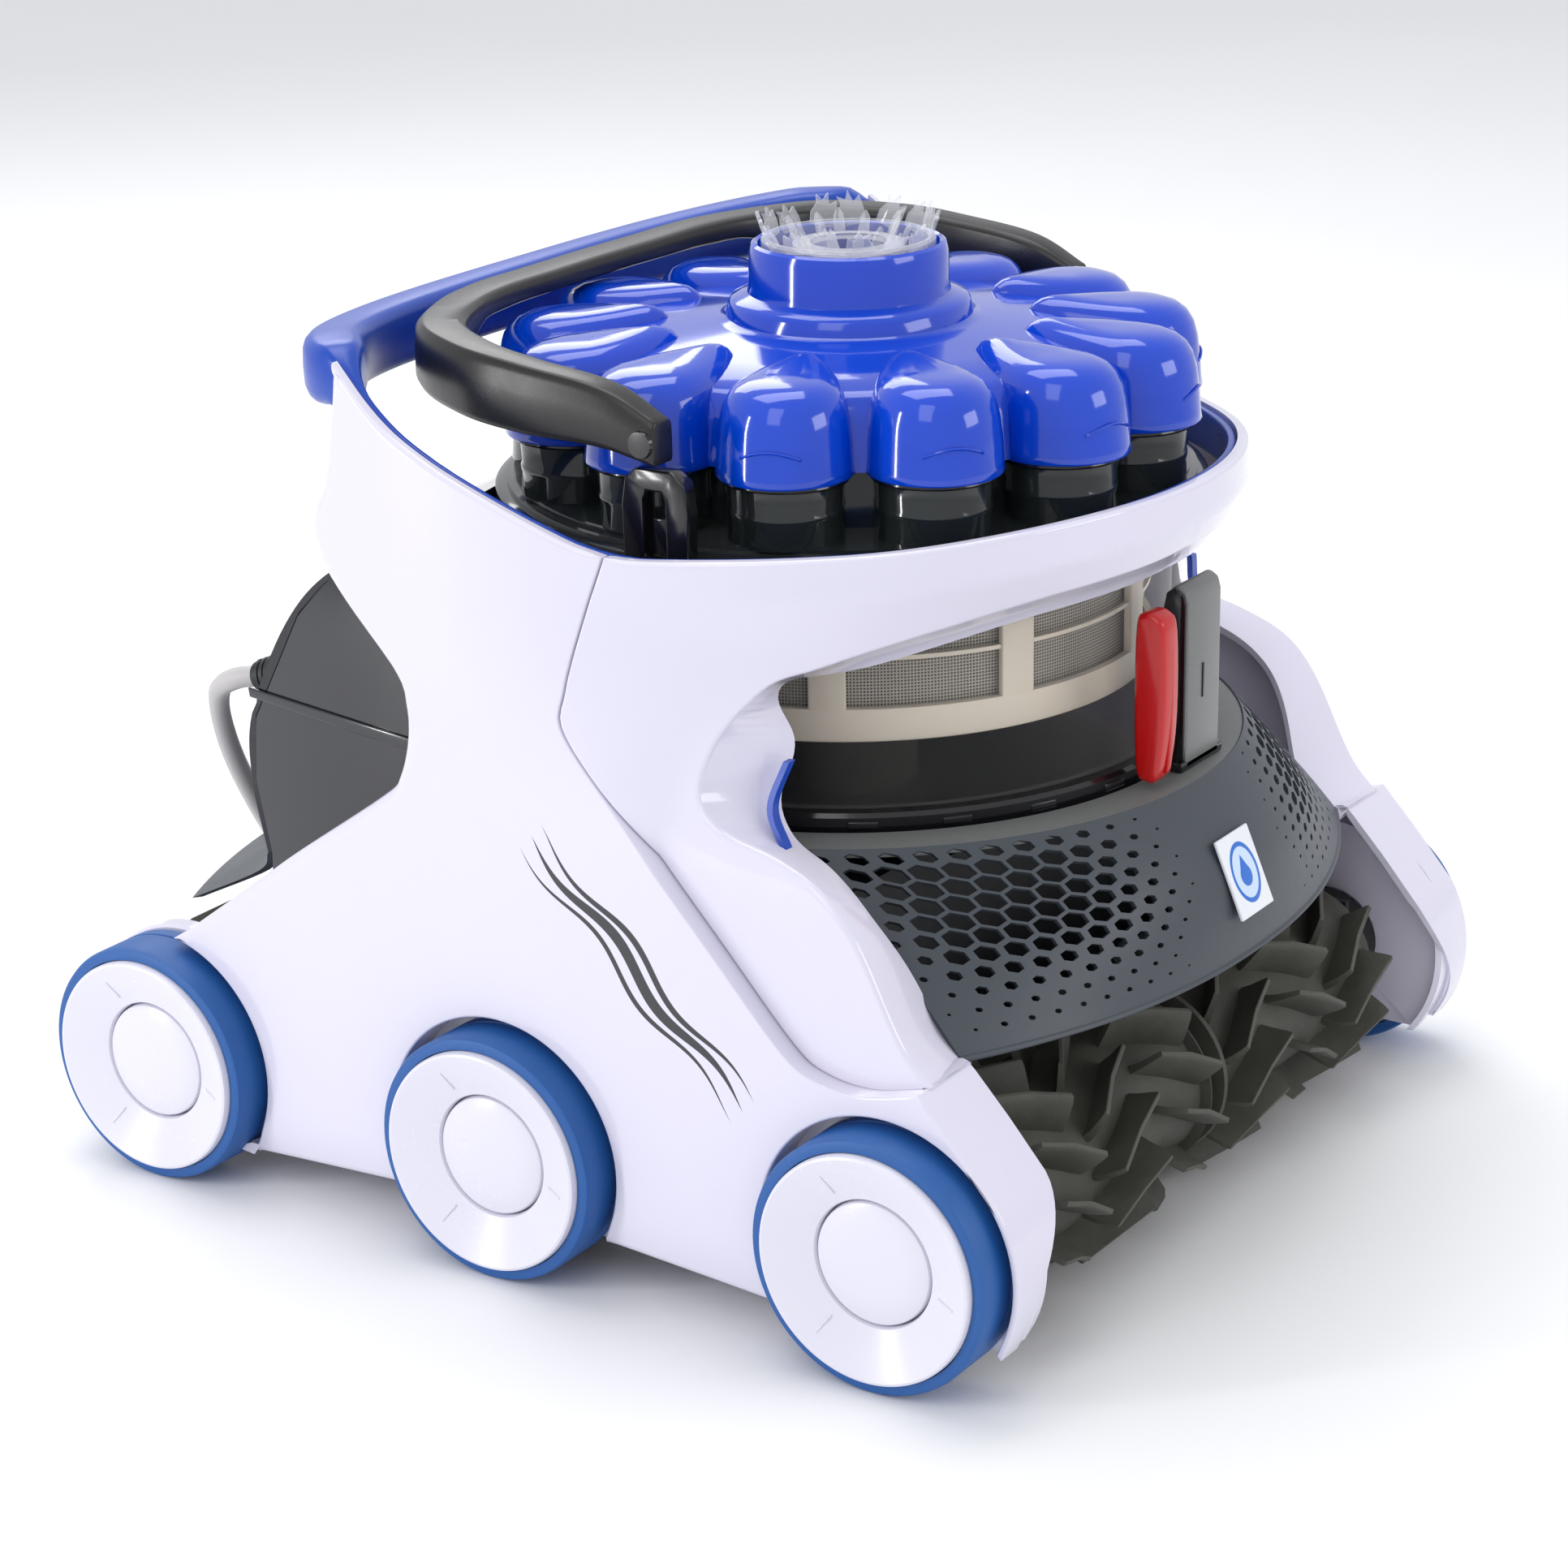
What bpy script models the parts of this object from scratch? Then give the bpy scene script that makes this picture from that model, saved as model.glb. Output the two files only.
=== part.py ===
"""Six-wheeled robotic pool cleaner with a lift-out cyclone canister.

Units are metres, +Z is up, the front faces -Y and the origin is on the floor
below the middle wheels, halfway between the sides.
"""

import math

import bmesh
import bpy
from mathutils import Matrix, Vector

MM = 0.001

# Wheels and running gear.
WHEEL_PITCH = 150 * MM
WHEEL_R = 43 * MM
HUB_R = 38.6 * MM
CAP_R = 20.9 * MM
HUB_FACE_X = 178 * MM
TYRE_OUT_X = 175.5 * MM
TYRE_IN_X = 153 * MM
AXLE_R = 8 * MM
AXLE_END_X = 127 * MM
PULLEY_R = 17 * MM
PULLEY_X = (138.5 * MM, 147.5 * MM)
DRIVE_Y = 75 * MM
BELT_T = 2.2 * MM
FIT = 0.4 * MM

# Brush rollers, one half on each side of the middle.
ROLLER_R = 24 * MM
SLEEVE_R = 27.5 * MM
BLADE_R = 42 * MM
BLADES = 8
ROLLER_X = (3 * MM, 126.5 * MM)

# Side mouldings.
SIDE_X = 165 * MM
SIDE_INNER_X = 134 * MM
WALL = 3.5 * MM
WELL_R = 46.5 * MM
WELL_X = (149 * MM, 151.5 * MM)

# Rim of the carrying loop, seen from above.
LOOP_HALF_W = 164 * MM
LOOP_MID_Y = 26 * MM
LOOP_FRONT = 196 * MM
LOOP_REAR = 86 * MM
RIM_T = 4 * MM
LINER_T = 2.5 * MM
LINER_H = 9 * MM
HANDLE_W = 19 * MM
HANDLE_H = 22 * MM
SEAM = 0.5 * MM
PANEL_BOTTOM = 13.2 * MM

# Chassis tub and the non-return flap in its duct.
TUB_TOP_Z = 137 * MM
FLAP_R = 23.5 * MM
FLAP_T = 1.5 * MM
FLAP_Z = 105 * MM

# Canister, turned about its own upright axis.
CAN_Y = -35 * MM
CAN_WALL_R = 114 * MM
CAN_SEAT_Z = 150.5 * MM
PETALS = 13
PETAL_R = 122 * MM
VALLEY_DEPTH = 16 * MM
COVER_Z = 268 * MM
COLLAR_R = 34 * MM
COLLAR_TOP_Z = 323 * MM
BASKET_WINDOWS = 10
CROWN_TEETH = 11
BAIL_PIVOT_Z = 284 * MM
BAIL_PIVOT_Y = -46 * MM

# Cord.
CORD_D = 8 * MM
COIL_CENTRE = (258 * MM, 268 * MM)
COIL_MEAN_R = 72 * MM
COIL_HALF_W = 28.5 * MM
COIL_H = 42 * MM

SIDES = (("left", -1), ("right", 1))
WHEEL_ROWS = (("front", -WHEEL_PITCH), ("middle", 0.0), ("rear", WHEEL_PITCH))


# ---------------------------------------------------------------- helpers

def clear_scene():
    """Remove whatever the file starts with."""
    for old in list(bpy.data.objects):
        bpy.data.objects.remove(old, do_unlink=True)


def material(name, colour, roughness, metallic=0.0):
    """Return a Principled material, made once for each name."""
    found = bpy.data.materials.get(name)
    if found:
        return found
    mat = bpy.data.materials.new(name)
    mat.use_nodes = True
    shader = mat.node_tree.nodes["Principled BSDF"]
    shader.inputs["Base Color"].default_value = (*colour, 1.0)
    shader.inputs["Roughness"].default_value = roughness
    shader.inputs["Metallic"].default_value = metallic
    return mat


WHITE = ("gloss_white_plastic", (0.86, 0.85, 0.93), 0.2)
BLUE = ("gloss_blue_plastic", (0.0, 0.05, 0.55), 0.2)
TYRE = ("blue_rubber", (0.02, 0.09, 0.33), 0.55)
GREY = ("dark_grey_plastic", (0.06, 0.07, 0.08), 0.45)
BLACK = ("gloss_black_plastic", (0.01, 0.01, 0.012), 0.2)
RUBBER = ("grey_brush_rubber", (0.09, 0.09, 0.075), 0.7)
CLEAR = ("clear_plastic", (0.85, 0.88, 0.9), 0.1)
SMOKE = ("smoked_plastic", (0.05, 0.06, 0.06), 0.12)
CREAM = ("cream_plastic", (0.72, 0.66, 0.55), 0.4)
RED = ("red_plastic", (0.5, 0.0, 0.0), 0.3)
CABLE = ("light_grey_cable", (0.6, 0.58, 0.58), 0.5)


def mesh_object(name, verts, faces, finish, smooth=35):
    """Make a mesh object from plain lists, with its faces pointing out."""
    mesh = bpy.data.meshes.new(name)
    mesh.from_pydata([tuple(v) for v in verts], [], faces)
    work = bmesh.new()
    work.from_mesh(mesh)
    bmesh.ops.recalc_face_normals(work, faces=work.faces)
    work.to_mesh(mesh)
    work.free()
    mesh.shade_smooth()
    mesh.set_sharp_from_angle(angle=math.radians(smooth))
    mesh.materials.append(material(*finish))
    obj = bpy.data.objects.new(name, mesh)
    bpy.context.scene.collection.objects.link(obj)
    return obj


def loft(name, sections, finish, closed=False, caps=(True, True), smooth=35):
    """Skin a row of sections that all have the same number of points."""
    count = len(sections[0])
    verts = [p for section in sections for p in section]
    rows = len(sections)
    faces = []
    for row in range(rows if closed else rows - 1):
        here, there = row * count, (row + 1) % rows * count
        for i in range(count):
            j = (i + 1) % count
            faces.append((here + i, here + j, there + j, there + i))
    if not closed and caps[0]:
        faces.append(tuple(range(count)))
    if not closed and caps[1]:
        faces.append(tuple((rows - 1) * count + i for i in range(count)))
    return mesh_object(name, verts, faces, finish, smooth)


def turned(name, profile, finish, axis="Z", centre=(0, 0), segments=48, shape=None, smooth=35):
    """Turn a closed (radius, height) profile about an axis.

    A profile whose first and last points lie on the axis makes a solid; any
    other profile makes a ring. shape(radius, height, angle) may bend a point.
    """
    solid = profile[0][0] == 0 and profile[-1][0] == 0
    points = profile[1:-1] if solid else profile
    rings = []
    for radius, height in points:
        ring = []
        for k in range(segments):
            angle = math.tau * k / segments
            r, h = shape(radius, height, angle) if shape else (radius, height)
            a, b = r * math.cos(angle), r * math.sin(angle)
            ring.append(place(axis, centre, a, b, h))
        rings.append(ring)
    if not solid:
        return loft(name, rings, finish, closed=True, smooth=smooth)
    verts = [p for ring in rings for p in ring]
    faces = []
    for row in range(len(rings) - 1):
        for i in range(segments):
            j = (i + 1) % segments
            low, high = row * segments, (row + 1) * segments
            faces.append((low + i, low + j, high + j, high + i))
    for end, row in ((profile[0], 0), (profile[-1], len(rings) - 1)):
        verts.append(place(axis, centre, 0, 0, end[1]))
        tip = len(verts) - 1
        for i in range(segments):
            faces.append((row * segments + i, row * segments + (i + 1) % segments, tip))
    return mesh_object(name, verts, faces, finish, smooth)


def place(axis, centre, a, b, h):
    """Put a turned point in the world for an upright or a crosswise axis."""
    if axis == "Z":
        return (centre[0] + a, centre[1] + b, h)
    return (h, centre[0] + a, centre[1] + b)


def box(name, low, high, finish):
    """Make a box from its two corners."""
    sections = []
    for z in (low[2], high[2]):
        sections.append([(low[0], low[1], z), (high[0], low[1], z), (high[0], high[1], z),
                         (low[0], high[1], z)])
    return loft(name, sections, finish)


def prism_x(name, outline, x0, x1, finish):
    """Extrude a (y, z) outline crosswise."""
    return loft(name, [[(x, y, z) for y, z in outline] for x in (x0, x1)], finish)


def combine(obj, other, operation="DIFFERENCE"):
    """Cut or join with another object and drop that object."""
    modifier = obj.modifiers.new(operation.lower(), "BOOLEAN")
    modifier.operation = operation
    modifier.object = other
    bpy.context.view_layer.update()
    graph = bpy.context.evaluated_depsgraph_get()
    result = bpy.data.meshes.new_from_object(obj.evaluated_get(graph))
    obj.modifiers.clear()
    old = obj.data
    obj.data = result
    bpy.data.meshes.remove(old)
    bpy.data.objects.remove(other, do_unlink=True)
    tidy = bmesh.new()
    tidy.from_mesh(result)
    bmesh.ops.remove_doubles(tidy, verts=tidy.verts, dist=0.00001)
    bmesh.ops.dissolve_degenerate(tidy, edges=tidy.edges, dist=0.00001)
    tidy.to_mesh(result)
    tidy.free()
    return obj


def set_origin(obj, point):
    """Move an object's origin to a point and leave its mesh where it is."""
    obj.data.transform(Matrix.Translation(-Vector(point)))
    obj.location = point


def to_metres(points):
    """Turn millimetre pairs into metres."""
    return [(a * MM, b * MM) for a, b in points]


def smooth_path(points, steps):
    """Catmull-Rom curve through hand-set points."""
    pts = [Vector(p) for p in points]
    pts = [2 * pts[0] - pts[1]] + pts + [2 * pts[-1] - pts[-2]]
    out = []
    for a, b, c, d in zip(pts, pts[1:], pts[2:], pts[3:]):
        for k in range(steps):
            t = k / steps
            out.append(0.5 * (2 * b + (c - a) * t + (2 * a - 5 * b + 4 * c - d) * t * t
                              + (3 * b - a - 3 * c + d) * t ** 3))
    return out + [pts[-2]]


# ------------------------------------------------------- shape of the rim

RIM_HEIGHTS = to_metres(((-170, 257), (-120, 252), (-41, 250), (-19, 259), (24, 277), (43, 288),
                         (56, 302), (64, 310)))


def rim_height(y):
    """Top of the rim at a depth, for the sides and the front."""
    if y <= RIM_HEIGHTS[0][0]:
        return RIM_HEIGHTS[0][1]
    for (y0, z0), (y1, z1) in zip(RIM_HEIGHTS, RIM_HEIGHTS[1:]):
        if y <= y1:
            return z0 + (z1 - z0) * (y - y0) / (y1 - y0)
    return RIM_HEIGHTS[-1][1]


def loop_point(angle, inset=0.0):
    """Point of the rim in plan; 0 is +X, a quarter turn is the rear."""
    c, s = math.cos(angle), math.sin(angle)
    if s >= 0:
        power = 2 / 3
        x = (LOOP_HALF_W - inset) * math.copysign(abs(c) ** power, c)
        return x, LOOP_MID_Y + (LOOP_REAR - inset) * s ** power
    return (LOOP_HALF_W - inset) * c, LOOP_MID_Y + (LOOP_FRONT - inset) * s


# ------------------------------------------------------------ side panels

PARTING = to_metres(((-42, 250), (-36, 232), (-29, 205), (-30, 192), (-59, 162), (-86, 133),
                     (-113, 104), (-124, 97), (-142, 95), (-163, 101)))
PANEL_REAR = to_metres(((-193, 52), (-190, 32), (-180, 14), (-103, 14), (-45, 18), (45, 18), (117, 13),
                        (180, 14), (189, 30), (191, 45), (184, 62), (165, 74), (138, 92), (104, 117),
                        (84, 132), (44, 160), (37, 168), (33, 181), (33, 193), (38, 205), (68, 235),
                        (73, 249), (66, 262), (61, 285), (61, 308), (43, 288), (24, 277), (-19, 259)))


def shell(name, outer, inner, finish, thickness=WALL):
    """Make a tray: a capped outer loop, walls to the inner loop, and an open back."""
    obj = loft(name, [outer, inner], finish, caps=(True, False))
    fill = bmesh.new()
    fill.from_mesh(obj.data)
    bmesh.ops.triangulate(fill, faces=[f for f in fill.faces if len(f.verts) > 4])
    fill.to_mesh(obj.data)
    fill.free()
    wall = obj.modifiers.new("wall", "SOLIDIFY")
    wall.thickness = thickness
    wall.offset = -1
    wall.use_even_offset = True
    return obj


def wheel_well(side, y):
    """Cup that a wheel sinks into, with a hole for the axle and its pulley."""
    r_out, r_in, r_hole = WELL_R + 2.5 * MM, WELL_R, PULLEY_R + 2 * MM
    lip, floor, back = side * (SIDE_X - 0.0004), side * WELL_X[1], side * WELL_X[0]
    profile = [(r_out, lip), (r_out, back), (r_hole, back), (r_hole, floor), (r_in, floor), (r_in, lip)]
    return turned("well", profile, WHITE, "X", (y, WHEEL_R), 18)


def wheel_cutter(side, y):
    """Round hole through the outer wall in front of a wheel."""
    profile = [(0, side * (SIDE_X + 0.01)), (WELL_R + 0.0005, side * (SIDE_X + 0.01)),
               (WELL_R + 0.0005, side * (WELL_X[1] + 0.0003)), (0, side * (WELL_X[1] + 0.0003))]
    return turned("cutter", profile, WHITE, "X", (y, WHEEL_R), 18)


def side_panel(name, side):
    """Outer moulding of one side, with its wheel wells."""
    fender = to_metres(((-176, 84), (-188, 70)))
    outline = [(y + SEAM, z - SEAM) for y, z in PARTING] + fender + PANEL_REAR
    outer = [(side * side_x(y, z), y, z) for y, z in outline]
    inner = []
    for y, z in outline:
        thin = z > 0.225
        inner.append((side * (side_x(y, z) - RIM_T - 1 * MM if thin else SIDE_INNER_X), y, z))
    panel = shell(name, outer, inner, WHITE)
    for _, y in WHEEL_ROWS:
        combine(panel, wheel_cutter(side, y))
    for _, y in WHEEL_ROWS:
        combine(panel, wheel_well(side, y), "UNION")
    below = box("below", (-0.3, -0.3, -0.05), (0.3, 0.3, PANEL_BOTTOM), WHITE)
    return combine(panel, below)


LEG_OUTER = to_metres(((-150, 117), (-137, 142), (-124, 156), (-106, 164), (-86, 168), (-75, 178),
                       (-78, 194), (-84, 201)))
LEG_INNER = to_metres(((-146, 110), (-138, 130), (-128, 146), (-116, 157), (-102, 163), (-95, 174),
                       (-98, 190), (-102, 198)))
LEG_TOP = to_metres(((-84, 226), (-39, 236)))
BAR_LOW = to_metres(((-170, 226), (-150, 222), (-120, 214), (-90, 204), (-80, 198), (-42, 198)))
BAR_T = 5 * MM


def side_x(y, z):
    """Half width of the body: upright below, drawn in to the rim above."""
    y = max(y, -160 * MM)
    half = loop_half_width(y)
    share = min(max((z - 0.15) / (rim_height(y) - 0.15), 0), 1)
    return SIDE_X - (SIDE_X - half) * share * share * (3 - 2 * share)


def loop_half_width(y):
    """Half width of the rim at a depth."""
    if y >= LOOP_MID_Y:
        share = min((y - LOOP_MID_Y) / LOOP_REAR, 1)
        return LOOP_HALF_W * (1 - share ** 3) ** (1 / 3)
    return LOOP_HALF_W * math.sqrt(1 - ((LOOP_MID_Y - y) / LOOP_FRONT) ** 2)


def bar_low(y):
    """Bottom of the front bar at a depth."""
    for (y0, z0), (y1, z1) in zip(BAR_LOW, BAR_LOW[1:]):
        if y <= y1:
            return z0 + (z1 - z0) * (y - y0) / (y1 - y0)
    return BAR_LOW[-1][1]


def front_leg(side):
    """Front strip of one side, from the wheel up to the bar."""
    parting = [(y - SEAM, z + SEAM) for y, z in PARTING if z < 0.24]
    outer_line = parting[::-1][:1] + LEG_OUTER + LEG_TOP + parting[:-1]
    inner_line = parting[::-1][:1] + LEG_INNER + LEG_TOP + parting[:-1]
    outer = [(side * side_x(y, z), y, z) for y, z in outer_line]
    inner = [(side * SIDE_INNER_X, y, z) for y, z in inner_line]
    return shell("leg", outer, inner, WHITE)


def front_frame():
    """White arch: the bar round the front of the canister and its two legs."""
    start = math.asin((LOOP_MID_Y + 44 * MM) / LOOP_FRONT)
    sections = []
    steps = 20
    for k in range(steps + 1):
        angle = math.pi + start + (math.pi - 2 * start) * k / steps
        (x0, y0), (x1, y1) = loop_point(angle), loop_point(angle, BAR_T)
        xm, ym = loop_point(angle, BAR_T / 2)
        top, low = rim_height(y0), bar_low(y0)
        crease = 0.6 * low + 0.4 * top
        sections.append([(x1, y1, top), (xm, ym, top), (x0, y0, top - 3 * MM), (x0, y0, crease),
                         (xm, ym, low), (x1, y1, low)])
    bar = loft("front_frame", sections, WHITE)
    for _, side in SIDES:
        combine(bar, front_leg(side), "UNION")
    return bar


def carry_frame():
    """Blue liner inside the rim, widening into the handle at the rear."""
    steps = 38
    sections = []
    for k in range(steps):
        angle = math.tau * k / steps
        x0, y0 = loop_point(angle, RIM_T + 2 * MM)
        handle = max(0.0, min(1.0, (y0 - 0.045) / 0.03))
        handle = handle * handle * (3 - 2 * handle)
        out = (1 - handle) * (RIM_T + 5 * MM) + handle * 0.3 * MM
        wide = (1 - handle) * LINER_T + handle * HANDLE_W
        tall = (1 - handle) * LINER_H + handle * HANDLE_H
        (xa, ya), (xb, yb) = loop_point(angle, out), loop_point(angle, out + wide)
        top = rim_height(y0) - (1 - handle) * 2 * MM - handle * 4 * MM * max(0, (y0 - 0.08)) / 0.03
        sections.append([(xa, ya, top - 0.3 * tall), (xa, ya, top - tall * 0.8),
                         ((xa + 3 * xb) / 4, (ya + 3 * yb) / 4, top - tall), (xb, yb, top - tall * 0.8),
                         (xb, yb, top - tall * 0.25), ((xa + xb) / 2, (ya + yb) / 2, top)])
    return loft("carry_frame", sections, BLUE, closed=True)


# ------------------------------------------------------------ chassis

def chassis():
    """Open-bottomed tub with arms for the wheel bearings."""
    tub = box("chassis", (-0.131, -0.104, 0.018), (0.131, 0.104, TUB_TOP_Z), GREY)
    combine(tub, box("hollow", (-0.128, -0.101, 0.01), (0.128, 0.101, TUB_TOP_Z - 3 * MM), GREY))
    hole = turned("hole", [(0, 0.2), (0.085, 0.2), (0.085, 0.13), (0, 0.13)], GREY, centre=(0, CAN_Y))
    combine(tub, hole)
    for _, side in SIDES:
        low_x, high_x = sorted((side * 0.1282, side * 0.131))
        for end in (-1, 1):
            low_y, high_y = sorted((end * 0.1, end * 0.166))
            combine(tub, box("arm", (low_x, low_y, 0.028), (high_x, high_y, 0.066), GREY), "UNION")
        for y in (-WHEEL_PITCH, 0, DRIVE_Y, WHEEL_PITCH):
            hole_r = AXLE_R + FIT
            profile = [(0, side * 0.14), (hole_r, side * 0.14), (hole_r, side * 0.12), (0, side * 0.12)]
            combine(tub, turned("bore", profile, GREY, "X", (y, WHEEL_R), 12))
    return tub


def base_plate():
    """Bottom cover with the suction mouth."""
    plate = box("base_plate", (-0.126, -0.1, 0.0125), (0.126, 0.1, 0.0175), GREY)
    return combine(plate, box("mouth", (-0.075, -0.058, 0), (0.075, -0.022, 0.03), GREY))


def intake_duct():
    """Duct from the suction mouth to the canister."""
    outer, inner = [], []
    for share, z in ((0, 18 * MM), (0.35, 50 * MM), (1, 100 * MM), (1, 149.5 * MM)):
        a, b = [], []
        for k in range(24):
            angle = math.tau * k / 24
            c, s = math.cos(angle), math.sin(angle)
            flat = max(abs(c), abs(s))
            for wall, ring in ((2.5 * MM, a), (0, b)):
                wide = (1 - share) * 0.078 / flat + share * 0.026
                deep = (1 - share) * 0.021 / flat + share * 0.026
                y = (1 - share) * -0.04 + share * CAN_Y
                ring.append(((wide + wall) * c, y + (deep + wall) * s, z))
        outer.append(a)
        inner.append(b)
    return loft("intake_duct", outer + inner[::-1], GREY, closed=True)


def motor_pod():
    """Sealed pod with the drive motors and the pump motor."""
    rings = []
    for z, grow in ((28, -6), (34, 0), (98, 0), (104, -6)):
        rings.append([(sx * (0.085 + grow * MM) + ox, 0.062 + sy * (0.03 + grow * MM), z * MM)
                      for sx, sy, ox in ((-1, -1, 0), (1, -1, 0), (1, 1, 0), (-1, 1, 0))])
    return loft("motor_pod", rings, BLACK)


def pump_impeller():
    """Bladed disc on the pump motor's upright shaft."""
    profile = [(0, 104.5 * MM), (4 * MM, 104.5 * MM), (4 * MM, 112 * MM), (26 * MM, 112 * MM),
               (26 * MM, 118 * MM), (9 * MM, 128 * MM), (0, 128 * MM)]

    def bladed(r, h, angle):
        if h > 117 * MM and r > 20 * MM and math.cos(6 * angle) > 0:
            return r, h + 8 * MM
        return r, h
    wheel = turned("pump_impeller", profile, BLACK, centre=(0, 0.062), segments=24, shape=bladed)
    set_origin(wheel, (0, 0.062, 0.1045))
    return wheel


def intake_flap():
    """Non-return flap across the duct, hinged at its rear edge."""
    low, high = FLAP_Z - FLAP_T / 2, FLAP_Z + FLAP_T / 2
    flap = turned("intake_flap", [(0, low), (FLAP_R, low), (FLAP_R, high), (0, high)],
                  BLACK, centre=(0, CAN_Y), segments=24)
    set_origin(flap, (0, CAN_Y + FLAP_R - FLAP_T, FLAP_Z))
    return flap


def front_grille():
    """Skirt below the canister, from a round ledge down to the brush."""
    steps, rows = 18, 4
    face, back = [], []
    for k in range(steps + 1):
        share = 2 * k / steps - 1
        angle = math.radians(-90 + 68 * share)
        top = Vector((0.136 * math.cos(angle), CAN_Y + 0.136 * math.sin(angle), 0.1545))
        x = 0.1325 * share
        low = Vector((x, -0.195 + 0.036 * abs(share) ** 2.2, 0.1))
        line = []
        for r in range(rows):
            t = r / (rows - 1)
            p = top.lerp(low, t)
            p.y -= 0.006 * math.sin(math.pi * t)
            line.append(p)
        ledge = Vector((0.1225 * math.cos(angle), CAN_Y + 0.1225 * math.sin(angle), 0.1545))
        face.append([ledge] + line)
        under = [p + Vector((-2 * MM * share, 2.5 * MM, -2.8 * MM)) for p in reversed(line)]
        back.append(under + [ledge + Vector((0, 0, -3 * MM))])
    return loft("front_grille", [a + b for a, b in zip(face, back)], GREY)


def rear_cover():
    """Dark cover bulging behind the canister, with a lip over the rear brush."""
    levels = ((236, 84, 56), (222, 112, 88), (200, 136, 110), (165, 151, 128), (140, 156, 130),
              (114, 152, 125), (106, 160, 130), (89, 192, 163))
    rows_out, rows_in = [], []
    for z, middle, edge in levels:
        out, back = [], []
        for k in range(15):
            share = k / 7 - 1
            y = (middle - (middle - edge) * abs(share) ** 2.2) * MM
            x = 0.1325 * share
            out.append(Vector((x, y, z * MM)))
            back.append(Vector((x * 0.985, y - 3 * MM, z * MM + (1 if z < 200 else -1) * 0.5 * MM)))
        rows_out.append(out)
        rows_in.append(back)
    sections = []
    for k in range(15):
        sections.append([row[k] for row in rows_out] + [row[k] for row in reversed(rows_in)])
    return loft("rear_cover", sections, GREY)


# ------------------------------------------------------------ canister

def valley(angle):
    """How deep a point lies between two petals, from 0 to 1."""
    return (0.5 + 0.5 * math.cos(PETALS * (angle - 1.5 * math.pi))) ** 2


def petal_shape(depth, start):
    """Return a shape that draws a turned profile in between the petals."""
    def shape(r, h, angle):
        share = min(max((r - start) / (0.115 - start), 0), 1)
        return r - depth * share * valley(angle), h - 0.2 * depth * share * valley(angle) * (h > 0.285)
    return shape


def can_part(name, profile, finish, segments=36, shape=None):
    """Turned piece on the canister's axis, from millimetre profile points."""
    return turned(name, to_metres(profile), finish, centre=(0, CAN_Y), segments=segments, shape=shape)


def basket():
    """Filter basket with a spout below and a ring of windows."""
    body = can_part("filter_basket", ((18, 158), (22, 158), (22, 178.5), (102, 178.5), (104, 181), (104, 232),
                                      (101, 232), (101, 182), (18, 182)), CREAM, 30)
    for k in range(BASKET_WINDOWS):
        window = box("window", (0.09, -0.021, 0.191), (0.115, 0.021, 0.223), CREAM)
        turn = Matrix.Rotation(math.tau * (k + 0.5) / BASKET_WINDOWS, 4, "Z")
        window.data.transform(Matrix.Translation((0, CAN_Y, 0)) @ turn)
        combine(body, window)
    can_part("filter_mesh", ((98.8, 184), (99.6, 184), (99.6, 230), (98.8, 230)), CREAM, 30)


def crown(r, h, angle):
    """Draw the rim of the outlet guard out into teeth."""
    if h < 0.33:
        return r, h
    point = math.cos(2 * CROWN_TEETH * angle)
    return r - 0.002 * point, h + 0.004 * math.cos(CROWN_TEETH * angle) + 0.002 * point


def bail_lug(name, side):
    """Slotted lug that one end of the bail turns on."""
    low_x, high_x = sorted((side * 0.1249, side * 0.1315))
    lug = box(name, (low_x, -0.058, 0.2385), (high_x, -0.034, 0.2745), BLACK)
    low_x, high_x = sorted((side * 0.12, side * 0.14))
    return combine(lug, box("slot", (low_x, -0.05, 0.245), (high_x, -0.042, 0.268), BLACK))


def canister():
    """The lift-out canister: base, wall, basket, cyclones and cover."""
    seat, low, top = CAN_SEAT_Z / MM, COVER_Z / MM, COLLAR_TOP_Z / MM
    wall, petal, collar = CAN_WALL_R / MM, PETAL_R / MM, COLLAR_R / MM
    can_part("canister_base", ((22, seat), (118, seat), (119, 153), (119, 160), (109, 160), (109, 156),
                               (22, 156)), BLACK)
    can_part("canister_wall", ((wall - 3.5, 160.4), (wall, 160.4), (wall - 1, 236.5), (wall - 4, 236.5)),
             CLEAR)
    can_part("wall_seal", ((108, 236.9), (wall, 236.9), (wall, 238.1), (108, 238.1)), RUBBER)
    basket()
    columns = (petal - 5, 243.5), (petal - 5, low - 0.4), (108, low - 0.4)
    can_part("cyclone_block", ((32, 238.5), (petal, 238.5), (petal, 243.5), *columns, (108, 246), (32, 246)),
             SMOKE, 39, lambda r, h, a: (r - 0.013 * valley(a) if 0.1 < r < 0.12 else r, h))
    outside = ((petal, low), (petal - 0.5, 282), (117, 291), (106, 296.5), (85, 299), (39.5, 300),
               (39.5, 304.5), (collar + 0.5, 306), (collar, top))
    inside = ((collar - 3.4, top), (collar - 3.8, 296.5), (84, 295.6), (104, 292.6), (114.5, 286),
              (petal - 3.5, low))
    can_part("cyclone_cover", outside + inside, BLUE, 39, petal_shape(VALLEY_DEPTH, 70 * MM))
    can_part("outlet_guard", ((26.5, 309), (30, 309), (30, 320), (28.5, 333), (26.5, 333)), CLEAR, 44, crown)
    for label, side in SIDES:
        bail_lug("handle_lug_" + label, side)


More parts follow.
